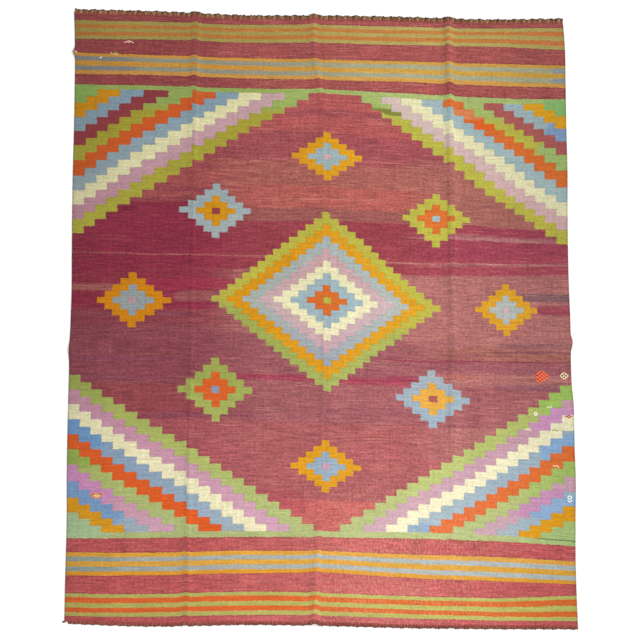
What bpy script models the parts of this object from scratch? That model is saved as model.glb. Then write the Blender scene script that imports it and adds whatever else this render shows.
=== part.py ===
"""A flat-woven kilim rug, lying open on the floor.

The rug is one sheet of weft-faced cloth about 3 mm thick. Its four edges run unevenly, and it keeps the
folds it was stored with: three low lengthwise ridges and one faint ridge across the middle. Both ends are
finished with the warps gathered into a row of short twisted bunches, which stand on a narrow binding strip.

The frame has X across the rug, Y along its warps towards the far end, and Z up. The origin is on the floor,
below the middle of the rug.
"""

import bmesh
import bpy
import numpy as np

MM = 0.001

# Driving dimensions, metres
CLOTH_THICKNESS = 0.003
SEAM_GAP = 0.0003  # between the cloth and the binding strip of a bunched end
STRIP_WIDTH = 0.004
FAR_BUNCH_REACH = 0.017
NEAR_BUNCH_REACH = 0.012
BUNCH_THICKNESS = 0.005
TAIL_REACH = 0.014  # the last warps at the near left corner stick out sideways

# The lengthwise ridges part the width into four spans, and each holds a whole number of bunches.
BUNCHES_PER_SPAN = (22, 23, 25, 21)
ROOT_SHARE = 0.41  # half of a bunch's root, as a share of the pitch
MIDDLE_SHARE = 0.40
TIP_SHARE = 0.19
LEAN_SHARE = 0.30  # how far a tip leans sideways, as a share of the pitch

# Side edges, millimetres: Y, X of the left edge, X of the right edge
SIDE_EDGES = (
    (1350, -1037, 1026),
    (1290, -1033, 1031),
    (1170, -1028, 1037),
    (1020, -1025, 1036),
    (790, -1023, 1034),
    (610, -1023, 1034),
    (480, -1022, 1031),
    (230, -1018, 1027),
    (80, -1015, 1027),
    (-50, -1016, 1029),
    (-210, -1017, 1027),
    (-330, -1017, 1028),
    (-400, -1017, 1033),
    (-610, -1016, 1033),
    (-740, -1014, 1034),
    (-900, -1010, 1029),
    (-1070, -1010, 1025),
    (-1200, -1010, 1025),
    (-1340, -1009, 1027),
)

# Ends of the cloth, millimetres: X, Y of the far end, Y of the near end
CLOTH_ENDS = (
    (-1040, 1335, -1316),
    (-930, 1329, -1324),
    (-750, 1325, -1329),
    (-540, 1324, -1328),
    (-440, 1315, -1324),
    (-350, 1307, -1321),
    (-90, 1305, -1326),
    (120, 1306, -1326),
    (340, 1299, -1335),
    (640, 1289, -1339),
    (850, 1281, -1340),
    (960, 1284, -1340),
    (1030, 1291, -1340),
)

# Lengthwise ridges, millimetres: Y, then X and height of the left, the centre and the right ridge
LENGTHWISE_RIDGES = (
    (1340, -522, 9, -19, 9, 549, 12),
    (1130, -524, 10, -18, 8, 549, 14),
    (950, -527, 8, 12, 6, 552, 13),
    (650, -531, 6, 21, 4, 556, 8),
    (250, -534, 3, 24, 3, 555, 5),
    (-150, -534, 3, 24, 4, 552, 5),
    (-550, -534, 3, 14, 3, 548, 4),
    (-900, -533, 5, 6, 6, 540, 2),
    (-1150, -532, 6, -12, 9, 530, 2),
    (-1340, -531, 6, -16, 13, 524, 2),
)
RIDGE_LEFT_FLANK = 0.019
RIDGE_RIGHT_FLANK = 0.015
RIDGE_PULL = 0.4  # a ridge is drawn towards the far end by this share of its height

# Ridge across the middle, millimetres: X, Y, height
CROSS_RIDGE = (
    (-1040, -180, 5),
    (-900, -182, 3),
    (-530, -185, 2),
    (0, -193, 2),
    (550, -207, 2),
    (780, -202, 4),
    (930, -177, 6),
    (1040, -150, 8),
)
CROSS_FLANK = 0.024

# Where a fold meets a side edge, the edge bulges, millimetres: side, Y, bulge, half length, height
EDGE_BULGES = (
    (-1, 1152, 8, 16, 7),
    (-1, -181, 4, 45, 0),
    (1, -151, 8, 28, 0),
)
BULGE_DEPTH = 0.022  # how far a bulge's height reaches in from the edge

# Grid lines of the cloth, metres from a ridge
ROW_OFFSETS = (0.014, 0.034, 0.065)
BULGE_ROWS = (1168 * MM, 1152 * MM, 1136 * MM)
ROWS_NEAR_HALF = 8
ROWS_FAR_HALF = 11
COLUMNS_PER_SPAN = 4

CLOTH_FINISH = ("woven_wool", (0.36, 0.055, 0.075, 1.0), 0.9)
WARP_FINISH = ("bunched_warps", (0.12, 0.075, 0.045, 1.0), 0.85)


def column(table, index):
    """One column of a table in millimetres, as metres, sorted by the table's first column."""
    rows = sorted(table)
    return np.array([row[index] for row in rows]) * MM


def read(table, index, at):
    """A table's column read at places along its first column."""
    return np.interp(at, column(table, 0), column(table, index))


def bulge(side, y, index):
    """A side edge's bulges at y: index 2 is their reach sideways and index 4 their height."""
    total = np.zeros_like(y)
    for row in EDGE_BULGES:
        if row[0] == side:
            total += row[index] * MM * np.exp(-(((y - row[1] * MM) / (row[3] * MM)) ** 2))
    return total


def anchors(y):
    """X of the left edge, the three lengthwise ridges and the right edge at y."""
    left = read(SIDE_EDGES, 1, y) - bulge(-1, y, 2)
    right = read(SIDE_EDGES, 2, y) + bulge(1, y, 2)
    ridges = [read(LENGTHWISE_RIDGES, index, y) for index in (1, 3, 5)]
    return np.stack([left, *ridges, right])


def across(u, y):
    """X at the column u, which is 0 at the left edge, 1, 2 and 3 on the ridges and 4 at the right edge."""
    span = np.clip(np.floor(u).astype(int), 0, 3)
    share = u - span
    lines = anchors(y)
    low = np.take_along_axis(lines, span[None], 0)[0]
    high = np.take_along_axis(lines, span[None] + 1, 0)[0]
    return low + (high - low) * share


def along(v, x):
    """Y at the row v, which is 0 at the near end, 1 on the cross ridge and 2 at the far end."""
    near = read(CLOTH_ENDS, 2, x)
    middle = read(CROSS_RIDGE, 1, x)
    far = read(CLOTH_ENDS, 1, x)
    return np.where(v < 1, near + (middle - near) * v, middle + (far - middle) * (v - 1))


def lengthwise_lift(x, y):
    """Height of the lengthwise ridges: a soft bell across each, narrower on its right flank."""
    total = np.zeros_like(x)
    for index in (1, 3, 5):
        off = x - read(LENGTHWISE_RIDGES, index, y)
        flank = np.where(off < 0, RIDGE_LEFT_FLANK, RIDGE_RIGHT_FLANK)
        total += read(LENGTHWISE_RIDGES, index + 1, y) * np.exp(-((off / flank) ** 2))
    return total


def lift(x, y):
    """Height of the cloth's underside above the floor."""
    off = y - read(CROSS_RIDGE, 1, x)
    total = lengthwise_lift(x, y) + read(CROSS_RIDGE, 2, x) * np.exp(-((off / CROSS_FLANK) ** 2))
    edges = anchors(y)
    for side, edge in ((-1, edges[0]), (1, edges[-1])):
        total += bulge(side, y, 4) * np.exp(-(((x - edge) / BULGE_DEPTH) ** 2))
    return total


def place(u, v):
    """The point of the cloth's underside at column u and row v, as three arrays."""
    y = along(v, np.zeros_like(u))
    for _ in range(3):
        x = across(u, y)
        y = along(v, x)
    return x, y + RIDGE_PULL * lengthwise_lift(x, y), lift(x, y)


def bunch_centres():
    """Column and pitch of each bunch. One is on every ridge, and the outer ones half a pitch from a side."""
    centres = []
    for span, count in enumerate(BUNCHES_PER_SPAN):
        pitch = 1.0 / (count + 0.5) if span in (0, 3) else 1.0 / count
        first = pitch / 2 if span == 0 else span + pitch
        number = count + 1 if span == 0 else count
        centres += [(first + pitch * step, pitch) for step in range(number)]
    return centres


def stations():
    """The columns where a bunch starts, is widest and ends, three for each bunch."""
    return np.array([[c - ROOT_SHARE * p, c, c + ROOT_SHARE * p] for c, p in bunch_centres()])


def cloth_columns():
    """The cloth's grid columns: both edges, and stations of the bunches, close together on the ridges."""
    ends = stations()
    centres = ends[:, 1]
    chosen = {0.0, 4.0}
    for ridge in (1, 2, 3):
        on = int(np.abs(centres - ridge).argmin())
        chosen.update(ends[on])
        for step in (-3, -2, -1, 1, 2, 3):
            chosen.add(centres[on + step])
    for span in range(4):
        for step in range(1, COLUMNS_PER_SPAN):
            target = span + step / COLUMNS_PER_SPAN
            chosen.add(centres[np.abs(centres - target).argmin()])
    return np.array(sorted(chosen))


def cloth_rows():
    """The cloth's grid rows: both ends, even steps, and closer ones on the cross ridge and at the bulge."""
    near, middle, far = (along(np.array([v]), np.zeros(1))[0] for v in (0.0, 1.0, 2.0))
    rows = {0.0, 1.0, 2.0}
    for offset in ROW_OFFSETS:
        rows.update((1 - offset / (middle - near), 1 + offset / (far - middle)))
    rows.update(step / ROWS_NEAR_HALF for step in range(1, ROWS_NEAR_HALF))
    rows.update(1 + step / ROWS_FAR_HALF for step in range(1, ROWS_FAR_HALF))
    edge = np.full(1, SIDE_EDGES[0][1] * MM)
    edge_middle, edge_far = (along(np.array([v]), edge)[0] for v in (1.0, 2.0))
    rows.update(1 + (y - edge_middle) / (edge_far - edge_middle) for y in BULGE_ROWS)
    return np.array(sorted(rows))


def make_material(finish):
    """A Principled material from its name, colour and roughness."""
    name, colour, roughness = finish
    material = bpy.data.materials.new(name)
    material.use_nodes = True
    shader = material.node_tree.nodes["Principled BSDF"]
    shader.inputs["Base Color"].default_value = colour
    shader.inputs["Roughness"].default_value = roughness
    shader.inputs["Metallic"].default_value = 0.0
    return material


def make_object(name, mesh, finish, collection):
    """An object of the rug, with its own material."""
    piece = bpy.data.objects.new(name, mesh)
    mesh.materials.append(make_material(finish))
    collection.objects.link(piece)
    return piece


def make_cloth(collection):
    """The cloth: a grid laid out on the uneven outline and the ridges, extruded upwards to its thickness."""
    columns, rows = cloth_columns(), cloth_rows()
    bm = bmesh.new()
    bmesh.ops.create_grid(bm, x_segments=len(columns) - 1, y_segments=len(rows) - 1, size=0.5)
    flat = np.array([vert.co[:2] for vert in bm.verts]) + 0.5
    u = columns[np.rint(flat[:, 0] * (len(columns) - 1)).astype(int)]
    v = rows[np.rint(flat[:, 1] * (len(rows) - 1)).astype(int)]
    for vert, x, y, z in zip(bm.verts, *place(u, v)):
        vert.co = (x, y, z)
    raised = bmesh.ops.extrude_face_region(bm, geom=bm.faces[:], use_keep_orig=True)["geom"]
    top = [item for item in raised if isinstance(item, bmesh.types.BMVert)]
    bmesh.ops.translate(bm, verts=top, vec=(0.0, 0.0, CLOTH_THICKNESS))
    bmesh.ops.recalc_face_normals(bm, faces=bm.faces)
    mesh = bpy.data.meshes.new("kilim_cloth")
    bm.to_mesh(mesh)
    bm.free()
    return make_object("kilim_cloth", mesh, CLOTH_FINISH, collection)


def end_line(u, v):
    """A cloth end read between its own grid columns, so that the strip beside it runs exactly parallel."""
    columns = cloth_columns()
    x, y, z = place(columns, np.full(len(columns), v))
    return np.interp(u, columns, x), np.interp(u, columns, y), np.interp(u, columns, z)


def bunch_lean(index):
    """How far bunch number index leans, from -1 to 1: mostly to the right, and never quite like the last."""
    return 0.55 + 0.45 * np.sin(2.4 * index) * np.cos(0.7 * index)


def ring(bm, x, half, y, height, floor):
    """Four corners of a bunch's section at y: bottom left, bottom right, top right, top left."""
    left, right = x - half, x + half
    low_left, low_right = floor(left), floor(right)
    corners = (
        (left, y, low_left),
        (right, y, low_right),
        (right, y, low_right + height),
        (left, y, low_left + height),
    )
    return [bm.verts.new(corner) for corner in corners]


def make_bunched_end(name, v, outward, reach, collection):
    """A row of short leaning warp bunches, each of four sides, with their roots fused into one strip."""
    roots = stations()
    u = np.concatenate([[0.0], roots.ravel(), [4.0]])
    x, y, z = end_line(u, v)
    bm = bmesh.new()
    walls = []
    for offset in (SEAM_GAP, SEAM_GAP + STRIP_WIDTH):
        for height in (0.0, CLOTH_THICKNESS):
            points = zip(x, y + outward * offset, z + height)
            walls.append([bm.verts.new(point) for point in points])
    inner_low, inner_high, outer_low, outer_high = walls
    for i in range(len(u) - 1):
        bm.faces.new((inner_low[i], inner_low[i + 1], inner_high[i + 1], inner_high[i]))
        bm.faces.new((inner_high[i], inner_high[i + 1], outer_high[i + 1], outer_high[i]))
        bm.faces.new((inner_low[i], outer_low[i], outer_low[i + 1], inner_low[i + 1]))
        if i % 3 == 0:  # between two bunches the strip's outer wall is bare
            bm.faces.new((outer_low[i], outer_high[i], outer_high[i + 1], outer_low[i + 1]))
    for i in (0, len(u) - 1):
        bm.faces.new((inner_low[i], inner_high[i], outer_high[i], outer_low[i]))

    def floor(at):
        return float(np.interp(at, x, z))

    for index in range(len(roots)):
        start, middle, stop = (1 + 3 * index + step for step in range(3))
        pitch = (x[stop] - x[start]) / (2 * ROOT_SHARE)
        lean = LEAN_SHARE * pitch * bunch_lean(index)
        if index == 0 and outward < 0:
            lean = -TAIL_REACH
        root_y = y[middle] + outward * (SEAM_GAP + STRIP_WIDTH)
        widest = ring(
            bm,
            x[middle] + 0.35 * lean,
            MIDDLE_SHARE * pitch,
            root_y + outward * 0.5 * reach,
            BUNCH_THICKNESS,
            floor,
        )
        tip = ring(
            bm,
            x[middle] + lean,
            TIP_SHARE * pitch,
            root_y + outward * reach * (0.92 + 0.08 * np.cos(1.9 * index)),
            CLOTH_THICKNESS,
            floor,
        )
        tops = [outer_high[i] for i in (start, middle, stop)]
        lows = [outer_low[i] for i in (start, middle, stop)]
        bm.faces.new((*tops, widest[2], widest[3]))
        bm.faces.new((*lows, widest[1], widest[0]))
        bm.faces.new((lows[0], tops[0], widest[3], widest[0]))
        bm.faces.new((tops[2], lows[2], widest[1], widest[2]))
        for side in range(4):
            after = (side + 1) % 4
            bm.faces.new((widest[side], widest[after], tip[after], tip[side]))
        bm.faces.new(tip)
    bmesh.ops.recalc_face_normals(bm, faces=bm.faces)
    mesh = bpy.data.meshes.new(name)
    bm.to_mesh(mesh)
    bm.free()
    return make_object(name, mesh, WARP_FINISH, collection)


def main():
    """Clears the scene and builds the rug."""
    for old in list(bpy.data.objects):
        bpy.data.objects.remove(old, do_unlink=True)
    collection = bpy.data.collections.new("kilim_rug")
    bpy.context.scene.collection.children.link(collection)
    make_cloth(collection)
    make_bunched_end("bunched_warps_far", 2.0, 1.0, FAR_BUNCH_REACH, collection)
    make_bunched_end("bunched_warps_near", 0.0, -1.0, NEAR_BUNCH_REACH, collection)


main()
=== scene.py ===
"""A flat-woven kilim lying open on a pale floor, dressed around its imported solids.

The cloth is one closed sheet laid out in woven coordinates: s runs across the rug along a weft and t runs
along a warp. The same coordinates carry the pattern, so stripes and stepped bands bend wherever the weaving
bends. The warp ends are twisted yarns, and the small brocaded motifs are raised stitches.
"""

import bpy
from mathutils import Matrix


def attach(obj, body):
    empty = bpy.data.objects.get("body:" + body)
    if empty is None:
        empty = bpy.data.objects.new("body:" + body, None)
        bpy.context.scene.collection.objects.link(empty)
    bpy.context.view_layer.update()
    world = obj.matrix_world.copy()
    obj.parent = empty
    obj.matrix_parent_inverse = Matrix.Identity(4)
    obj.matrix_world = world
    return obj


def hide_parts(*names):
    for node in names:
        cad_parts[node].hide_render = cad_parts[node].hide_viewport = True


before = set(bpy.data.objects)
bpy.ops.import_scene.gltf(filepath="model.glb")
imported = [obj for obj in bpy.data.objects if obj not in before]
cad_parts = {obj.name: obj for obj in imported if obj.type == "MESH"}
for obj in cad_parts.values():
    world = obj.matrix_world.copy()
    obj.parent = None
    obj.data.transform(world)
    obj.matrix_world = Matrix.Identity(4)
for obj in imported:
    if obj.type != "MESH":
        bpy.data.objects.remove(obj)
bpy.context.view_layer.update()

import logging
import math
from dataclasses import dataclass
from enum import IntEnum
from typing import Callable, Sequence, Union

import bpy
import numpy as np

LOG = logging.getLogger("kilim")
MM = 0.001

Array = np.ndarray
Socket = bpy.types.NodeSocket
Value = Union[float, Socket]
Colour = tuple[float, float, float]
Table = tuple[tuple[float, ...], ...]


# ---------------------------------------------------------------------------------------------------------
# Small tools


def rgb(code: str) -> Colour:
    """A dyer's colour note as light values.

    Args:
        code: Six hexadecimal digits, as seen on a screen.

    Returns:
        Red, green and blue as linear values from 0 to 1.
    """
    parts = [int(code[at : at + 2], 16) / 255 for at in (0, 2, 4)]
    return tuple(part / 12.92 if part < 0.04045 else ((part + 0.055) / 1.055) ** 2.4 for part in parts)


def smooth(at: Array, places: Array, values: Array) -> Array:
    """A smooth curve through points: cubic pieces whose slopes are those between each point's neighbours.

    Args:
        at: Where the curve is read. Past its ends the curve stays level.
        places: Rising places of the points.
        values: Their values.

    Returns:
        The curve's value at each place.
    """
    slopes = np.gradient(values, places)
    at = np.clip(at, places[0], places[-1])
    piece = np.clip(np.searchsorted(places, at, side="right") - 1, 0, len(places) - 2)
    return hermite(at, places, values, slopes, piece, lambda data, index: data[index])


def hermite(
    at: Array, places: Array, values: Array, slopes: Array, piece: Array,
    pick: Callable[[Array, Array], Array],
) -> Array:
    """One cubic piece: the two ends' values and slopes weighted by the four cubic blending curves.

    Args:
        at: Where the curve is read.
        places: Rising places of the points.
        values: Their values, one row for each point where pick takes rows.
        slopes: Their slopes, in the same layout.
        piece: The number of the piece that each place falls in.
        pick: Takes the entry of some data at a point's number.

    Returns:
        The curve's value at each place.
    """
    span = places[piece + 1] - places[piece]
    share = (at - places[piece]) / span
    square, cube = share**2, share**3
    return (
        (2 * cube - 3 * square + 1) * pick(values, piece)
        + (cube - 2 * square + share) * span * pick(slopes, piece)
        + (3 * square - 2 * cube) * pick(values, piece + 1)
        + (cube - square) * span * pick(slopes, piece + 1)
    )


def column(table: Table, index: int) -> Array:
    """One column of a table in millimetres, as metres, in the order of the table's first column."""
    return np.array([row[index] for row in sorted(table)]) * MM


def read(table: Table, index: int, at: Array) -> Array:
    """The smooth curve through one column of a table, read along the table's first column."""
    return smooth(at, column(table, 0), column(table, index))


def make_piece(name: str, points: Array, faces: Array, material: bpy.types.Material) -> bpy.types.Object:
    """Puts whole arrays into a mesh object at the origin, shaded smooth.

    Args:
        name: The piece's name.
        points: One row of x, y, z for each vertex, in metres.
        faces: One row of vertex numbers for each face. All faces have as many corners.
        material: The piece's finish.

    Returns:
        The new object, linked to the scene.
    """
    mesh = bpy.data.meshes.new(name)
    count, corners = faces.shape
    mesh.vertices.add(len(points))
    mesh.vertices.foreach_set("co", points.astype(np.float32).ravel())
    mesh.loops.add(count * corners)
    mesh.loops.foreach_set("vertex_index", faces.astype(np.int32).ravel())
    mesh.polygons.add(count)
    mesh.polygons.foreach_set("loop_start", np.arange(0, count * corners, corners, dtype=np.int32))
    mesh.polygons.foreach_set("use_smooth", np.ones(count, bool))
    mesh.update(calc_edges=True)
    mesh.validate()
    mesh.materials.append(material)
    piece = bpy.data.objects.new(name, mesh)
    bpy.context.scene.collection.objects.link(piece)
    return piece


def lay_map(piece: bpy.types.Object, name: str, places: Array) -> None:
    """Gives a piece a UV map from one place for each vertex.

    Args:
        piece: The piece, with its mesh made.
        name: The map's name.
        places: One row of two numbers for each vertex.
    """
    mesh = piece.data
    corners = np.empty(len(mesh.loops), np.int32)
    mesh.loops.foreach_get("vertex_index", corners)
    layer = mesh.uv_layers.new(name=name)
    layer.data.foreach_set("uv", places[corners].astype(np.float32).ravel())


def paint_points(piece: bpy.types.Object, name: str, colours: Array) -> None:
    """Gives each vertex of a piece its own yarn colour.

    Args:
        piece: The piece, with its mesh made.
        name: The colour attribute's name.
        colours: One row of linear red, green and blue for each vertex.
    """
    layer = piece.data.color_attributes.new(name=name, type="FLOAT_COLOR", domain="POINT")
    full = np.concatenate([colours, np.ones((len(colours), 1))], axis=1)
    layer.data.foreach_set("color", full.astype(np.float32).ravel())


UP = np.array([0.0, 0.0, 1.0])


def tube(path: Array, upward: Array, half_width: Array, half_height: Array, sides: int) -> Array:
    """Rings of flattened yarn carried along many paths at once.

    A ring's point is its path's point, plus the cosine of the ring angle times the half width sideways, plus
    the sine times the half height upwards. Sideways is square to both the path and upwards.

    Args:
        path: Points of the paths, as paths, steps, xyz.
        upward: Unit vectors up from the surface, in the same layout, or one for all.
        half_width: Half widths, as paths, steps.
        half_height: Half heights, as paths, steps.
        sides: How many points a ring has.

    Returns:
        The rings' points, as paths, steps, sides, xyz.
    """
    across = np.cross(upward, np.gradient(path, axis=1))
    across /= np.linalg.norm(across, axis=-1, keepdims=True)
    angle = np.arange(sides) * 2 * np.pi / sides
    wide = (half_width[..., None] * np.cos(angle))[..., None] * across[..., None, :]
    high = (half_height[..., None] * np.sin(angle))[..., None] * upward[..., None, :]
    return path[..., None, :] + wide + high


def tube_faces(paths: int, steps: int, sides: int) -> Array:
    """Triangles of the tubes that tube() gives, with both ends closed by a fan.

    Args:
        paths: How many tubes there are.
        steps: How many rings each has.
        sides: How many points a ring has.

    Returns:
        One row of three vertex numbers for each triangle, facing outwards for a right-handed ring.
    """
    ring, side = np.meshgrid(np.arange(steps - 1), np.arange(sides), indexing="ij")
    low, low_next = ring * sides + side, ring * sides + (side + 1) % sides
    high, high_next = low + sides, low_next + sides
    wall = np.concatenate(
        [
            np.stack([low, low_next, high_next], -1).reshape(-1, 3),
            np.stack([low, high_next, high], -1).reshape(-1, 3),
        ]
    )
    turn = np.arange(1, sides - 1)
    start = np.stack([np.zeros_like(turn), turn + 1, turn], -1)
    end = np.stack([np.zeros_like(turn), turn, turn + 1], -1) + (steps - 1) * sides
    one = np.concatenate([wall, start, end])
    return (one[None] + (np.arange(paths) * steps * sides)[:, None, None]).reshape(-1, 3)


# ---------------------------------------------------------------------------------------------------------
# The shape of the rug


class End(IntEnum):
    """The two ends of the rug. The value is the way out along Y."""

    FAR = 1
    NEAR = -1


RIDGES = (1, 3, 5)  # columns of the ridges' table that hold their X. Each is followed by the height


@dataclass(frozen=True)
class RugShape:
    """How the woven sheet lies on the floor. Tables are in millimetres."""

    width: float = 2.05
    far_t: float = 1.3075
    near_t: float = -1.332
    thickness: float = 0.003
    # Y, X of the left edge, X of the right edge
    side_edges: Table = (
        (1350, -1037, 1026), (1290, -1033, 1031), (1170, -1028, 1037), (1020, -1025, 1036),
        (790, -1023, 1034), (610, -1023, 1034), (480, -1022, 1031), (230, -1018, 1027), (80, -1015, 1027),
        (-50, -1016, 1029), (-210, -1017, 1027), (-330, -1017, 1028), (-400, -1017, 1033),
        (-610, -1016, 1033), (-740, -1014, 1034), (-900, -1010, 1029), (-1070, -1010, 1025),
        (-1200, -1010, 1025), (-1340, -1009, 1027),
    )
    # Y, then X and height of the left, the centre and the right ridge
    ridges: Table = (
        (1340, -522, 9, -19, 9, 549, 12),
        (1130, -524, 10, -18, 8, 549, 14),
        (950, -527, 8, 12, 6, 552, 13),
        (650, -531, 6, 21, 4, 556, 8),
        (250, -534, 3, 24, 3, 555, 5),
        (-150, -534, 3, 24, 4, 552, 5),
        (-550, -534, 3, 14, 3, 548, 4),
        (-900, -533, 5, 6, 6, 540, 2),
        (-1150, -532, 6, -12, 9, 530, 2),
        (-1340, -531, 6, -16, 13, 524, 2),
    )
    left_flank: float = 0.019
    right_flank: float = 0.015
    ridge_pull: float = 0.4  # a ridge is drawn towards the far end by this share of its height
    # X, Y, height of the ridge across the middle
    cross_ridge: Table = (
        (-1040, -180, 5), (-900, -182, 3), (-530, -185, 2), (0, -193, 2), (550, -207, 2), (780, -202, 4),
        (930, -177, 6), (1040, -150, 8),
    )
    cross_flank: float = 0.024
    settling: int = 6  # rounds in which the columns' layout settles
    # Where a fold meets a side: side, Y, bulge, half length, height
    edge_bulges: Table = ((-1, 1152, 8, 16, 7), (-1, -181, 4, 45, 0), (1, -151, 8, 28, 0))
    bulge_depth: float = 0.022
    # How far a weft strays along Y: t, then the strays at each of stray_places
    stray_places: tuple[float, ...] = (-1030, -680, -300, 0, 340, 700, 1030)
    strays: Table = (
        (1305, 30, 19.6, 1, 0, -6.5, -18.6, -14.5),
        (1279, 24, 14.5, 1, 0, -8, -17.5, -15),
        (1194, 19, 17, 2, 0, -9, -16.5, -33),
        (1118, 32, 20.5, 6, 0, -9, -20, -27),
        (1027, 27, 21, 6, 0, -11, -26, -37),
        (982, 22, 15.5, 3, 0, -20, -40, -47),
        (880, 21, 19, 7, 0, -22, -44, -37),
        (790, 22, 24, 14, 0, -19, -34, -28),
        (700, 25, 26, 12, 0, -19, -30, -23),
        (560, 15, 20, 5, 0, -19, -48, -44),
        (415, 16, 13, 3, 0, -12, -29, -42),
        (200, 16, 7, 3, 1, -28, -33, -41),
        (32, 9, 9, 9, 3, -26, -38, -45),
        (-340, 20, 17, 10, 0, -14, -31, -36),
        (-530, 11, 12, 9, 0, -6, -34, -45),
        (-690, 2, 6, 8, 1, -16, -33, -52),
        (-780, -12, 2, 7, 2, -10, -31, -52),
        (-860, -13, -3, 0, 0, -5, -28, -53),
        (-977, -5, -2, 2, 0, -5, -15.6, -38.7),
        (-1035, -5, -5, 2, 0, -12.5, -24, -44),
        (-1124, -12.5, -11, -3, 0, -21, -36, -49),
        (-1207, -2, -4.6, 5, 0, -14, -21, -12),
        (-1301, -1.4, -4.5, 2.6, 0, -12, -19.5, -23.6),
        (-1326, 9, -2.5, 4, 0, -9, -13, -14),
    )
    # Bells in which the warps part or move: s, t, half width and half length in metres, the share by which
    # they part, and their sway to the right in millimetres
    loosenings: Table = ((0.0175, 0.36, 0.27, 0.14, 0.05, 0), (-0.02, -0.95, 0.2, 0.12, 0, -9))
    # How far a warp sways to the right, where the creases draw the cloth in: s, sway
    sways: Table = (
        (-1025, 0), (-950, -2), (-850, -7), (-750, -5), (-650, 3), (-550, 9), (-450, 8), (-250, 3),
        (-150, 7), (0, 10), (150, 9), (250, 6), (350, 1), (550, 4), (750, 0), (950, -5), (1025, 0),
    )

    def end_t(self, end: End) -> float:
        """t of one end of the cloth."""
        return self.far_t if end is End.FAR else self.near_t

    def bulge(self, side: int, y: Array, index: int) -> Array:
        """Bell curves along a side edge.

        Args:
            side: -1 for the left edge and 1 for the right one.
            y: Places along the rug.
            index: 2 for the reach sideways, 4 for the height.

        Returns:
            The sum of the side's bulges at each place.
        """
        total = np.zeros_like(y)
        for row in self.edge_bulges:
            if row[0] == side:
                total = total + row[index] * MM * np.exp(-(((y - row[1] * MM) / (row[3] * MM)) ** 2))
        return total

    def edges(self, y: Array) -> tuple[Array, Array]:
        """X of the left and of the right edge at y."""
        left = read(self.side_edges, 1, y) - self.bulge(-1, y, 2)
        right = read(self.side_edges, 2, y) + self.bulge(1, y, 2)
        return left, right

    def stray(self, s: Array, t: Array) -> Array:
        """How far a weft has strayed along Y: smooth curves along t, joined smoothly across s.

        Args:
            s: Places across the rug.
            t: Places along the rug.

        Returns:
            The stray at each place.
        """
        knots = np.array(self.stray_places) * MM
        values = np.stack([read(self.strays, index + 1, t) for index in range(len(knots))])
        slopes = np.gradient(values, knots, axis=0)
        at = np.clip(s, knots[0], knots[-1])
        piece = np.clip(np.searchsorted(knots, at, side="right") - 1, 0, len(knots) - 2)

        def pick(data: Array, index: Array) -> Array:
            """The entry of each place's own piece."""
            return np.take_along_axis(data, index[None], 0)[0]

        return hermite(at, knots, values, slopes, piece, pick)

    def sway(self, s: Array, t: Array) -> Array:
        """How far the warp s has swayed to the right at t.

        Args:
            s: Places across the rug.
            t: Places along the rug.

        Returns:
            The table's smooth curve, and the stretch and sway of each bell.
        """
        total = read(self.sways, 1, s)
        for middle, height, wide, long, share, sway in self.loosenings:
            bell = np.exp(-(((s - middle) / wide) ** 4) - ((t - height) / long) ** 2)
            total = total + (share * (s - middle) + sway * MM) * bell
        return total

    def ridge_lift(self, x: Array, y: Array) -> Array:
        """Height of the lengthwise ridges: a bell across each, narrower on its right flank.

        Args:
            x: Places across the floor.
            y: Places along the floor.

        Returns:
            The three ridges' heights, added.
        """
        total = np.zeros_like(x)
        for index in RIDGES:
            off = x - read(self.ridges, index, y)
            flank = np.where(off < 0, self.left_flank, self.right_flank)
            total = total + read(self.ridges, index + 1, y) * np.exp(-((off / flank) ** 2))
        return total

    def lift(self, x: Array, y: Array) -> Array:
        """Height of the underside above the floor.

        Args:
            x: Places across the floor.
            y: Places along the floor.

        Returns:
            The heights of all ridges and edge bulges, added.
        """
        off = y - read(self.cross_ridge, 1, x)
        total = read(self.cross_ridge, 2, x) * np.exp(-((off / self.cross_flank) ** 2))
        total = self.ridge_lift(x, y) + total
        for side, edge in zip((-1, 1), self.edges(y)):
            total = total + self.bulge(side, y, 4) * np.exp(-(((x - edge) / self.bulge_depth) ** 2))
        return total

    def place(self, s: Array, t: Array) -> Array:
        """Points of the underside: s and t strayed onto the outline, drawn up over the ridges.

        Args:
            s: Places across the rug.
            t: Places along the rug.

        Returns:
            The points, with x, y, z last.
        """
        y = t + self.stray(s, t)
        left, right = self.edges(y)
        x = left + (right - left) * (s / self.width + 0.5) + self.sway(s, t)
        return np.stack([x, y + self.ridge_pull * self.ridge_lift(x, y), self.lift(x, y)], -1)

    def across(self, u: Array, t: Array) -> Array:
        """The woven coordinate s of a column that follows the ridges.

        Args:
            u: Columns, 0 at the left edge, 1, 2 and 3 on the ridges and 4 at the right edge.
            t: Places along the rug.

        Returns:
            s at each column and place, found by repeating the layout until it settles.
        """
        s = np.zeros_like(u)
        for _ in range(self.settling):
            y = t + self.stray(s, t)
            left, right = self.edges(y)
            lines = np.stack([left, *(read(self.ridges, index, y) for index in RIDGES), right])
            span = np.clip(np.floor(u).astype(int), 0, 3)[None]
            low, high = np.take_along_axis(lines, span, 0)[0], np.take_along_axis(lines, span + 1, 0)[0]
            x = low + (high - low) * (u - span[0])
            s = ((x - self.sway(s, t) - left) / (right - left) - 0.5) * self.width
        return s

    def facing(self, s: Array, t: Array) -> tuple[Array, Array, Array]:
        """The surface's directions, from small steps along the two woven coordinates.

        Args:
            s: Places across the rug.
            t: Places along the rug.

        Returns:
            Unit vectors along the weft, along the warp and out of the top face, with x, y, z last.
        """
        step = 0.5 * MM
        weft = self.place(s + step, t) - self.place(s - step, t)
        warp = self.place(s, t + step) - self.place(s, t - step)
        out = np.cross(weft, warp)
        return tuple(part / np.linalg.norm(part, axis=-1, keepdims=True) for part in (weft, warp, out))


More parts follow.
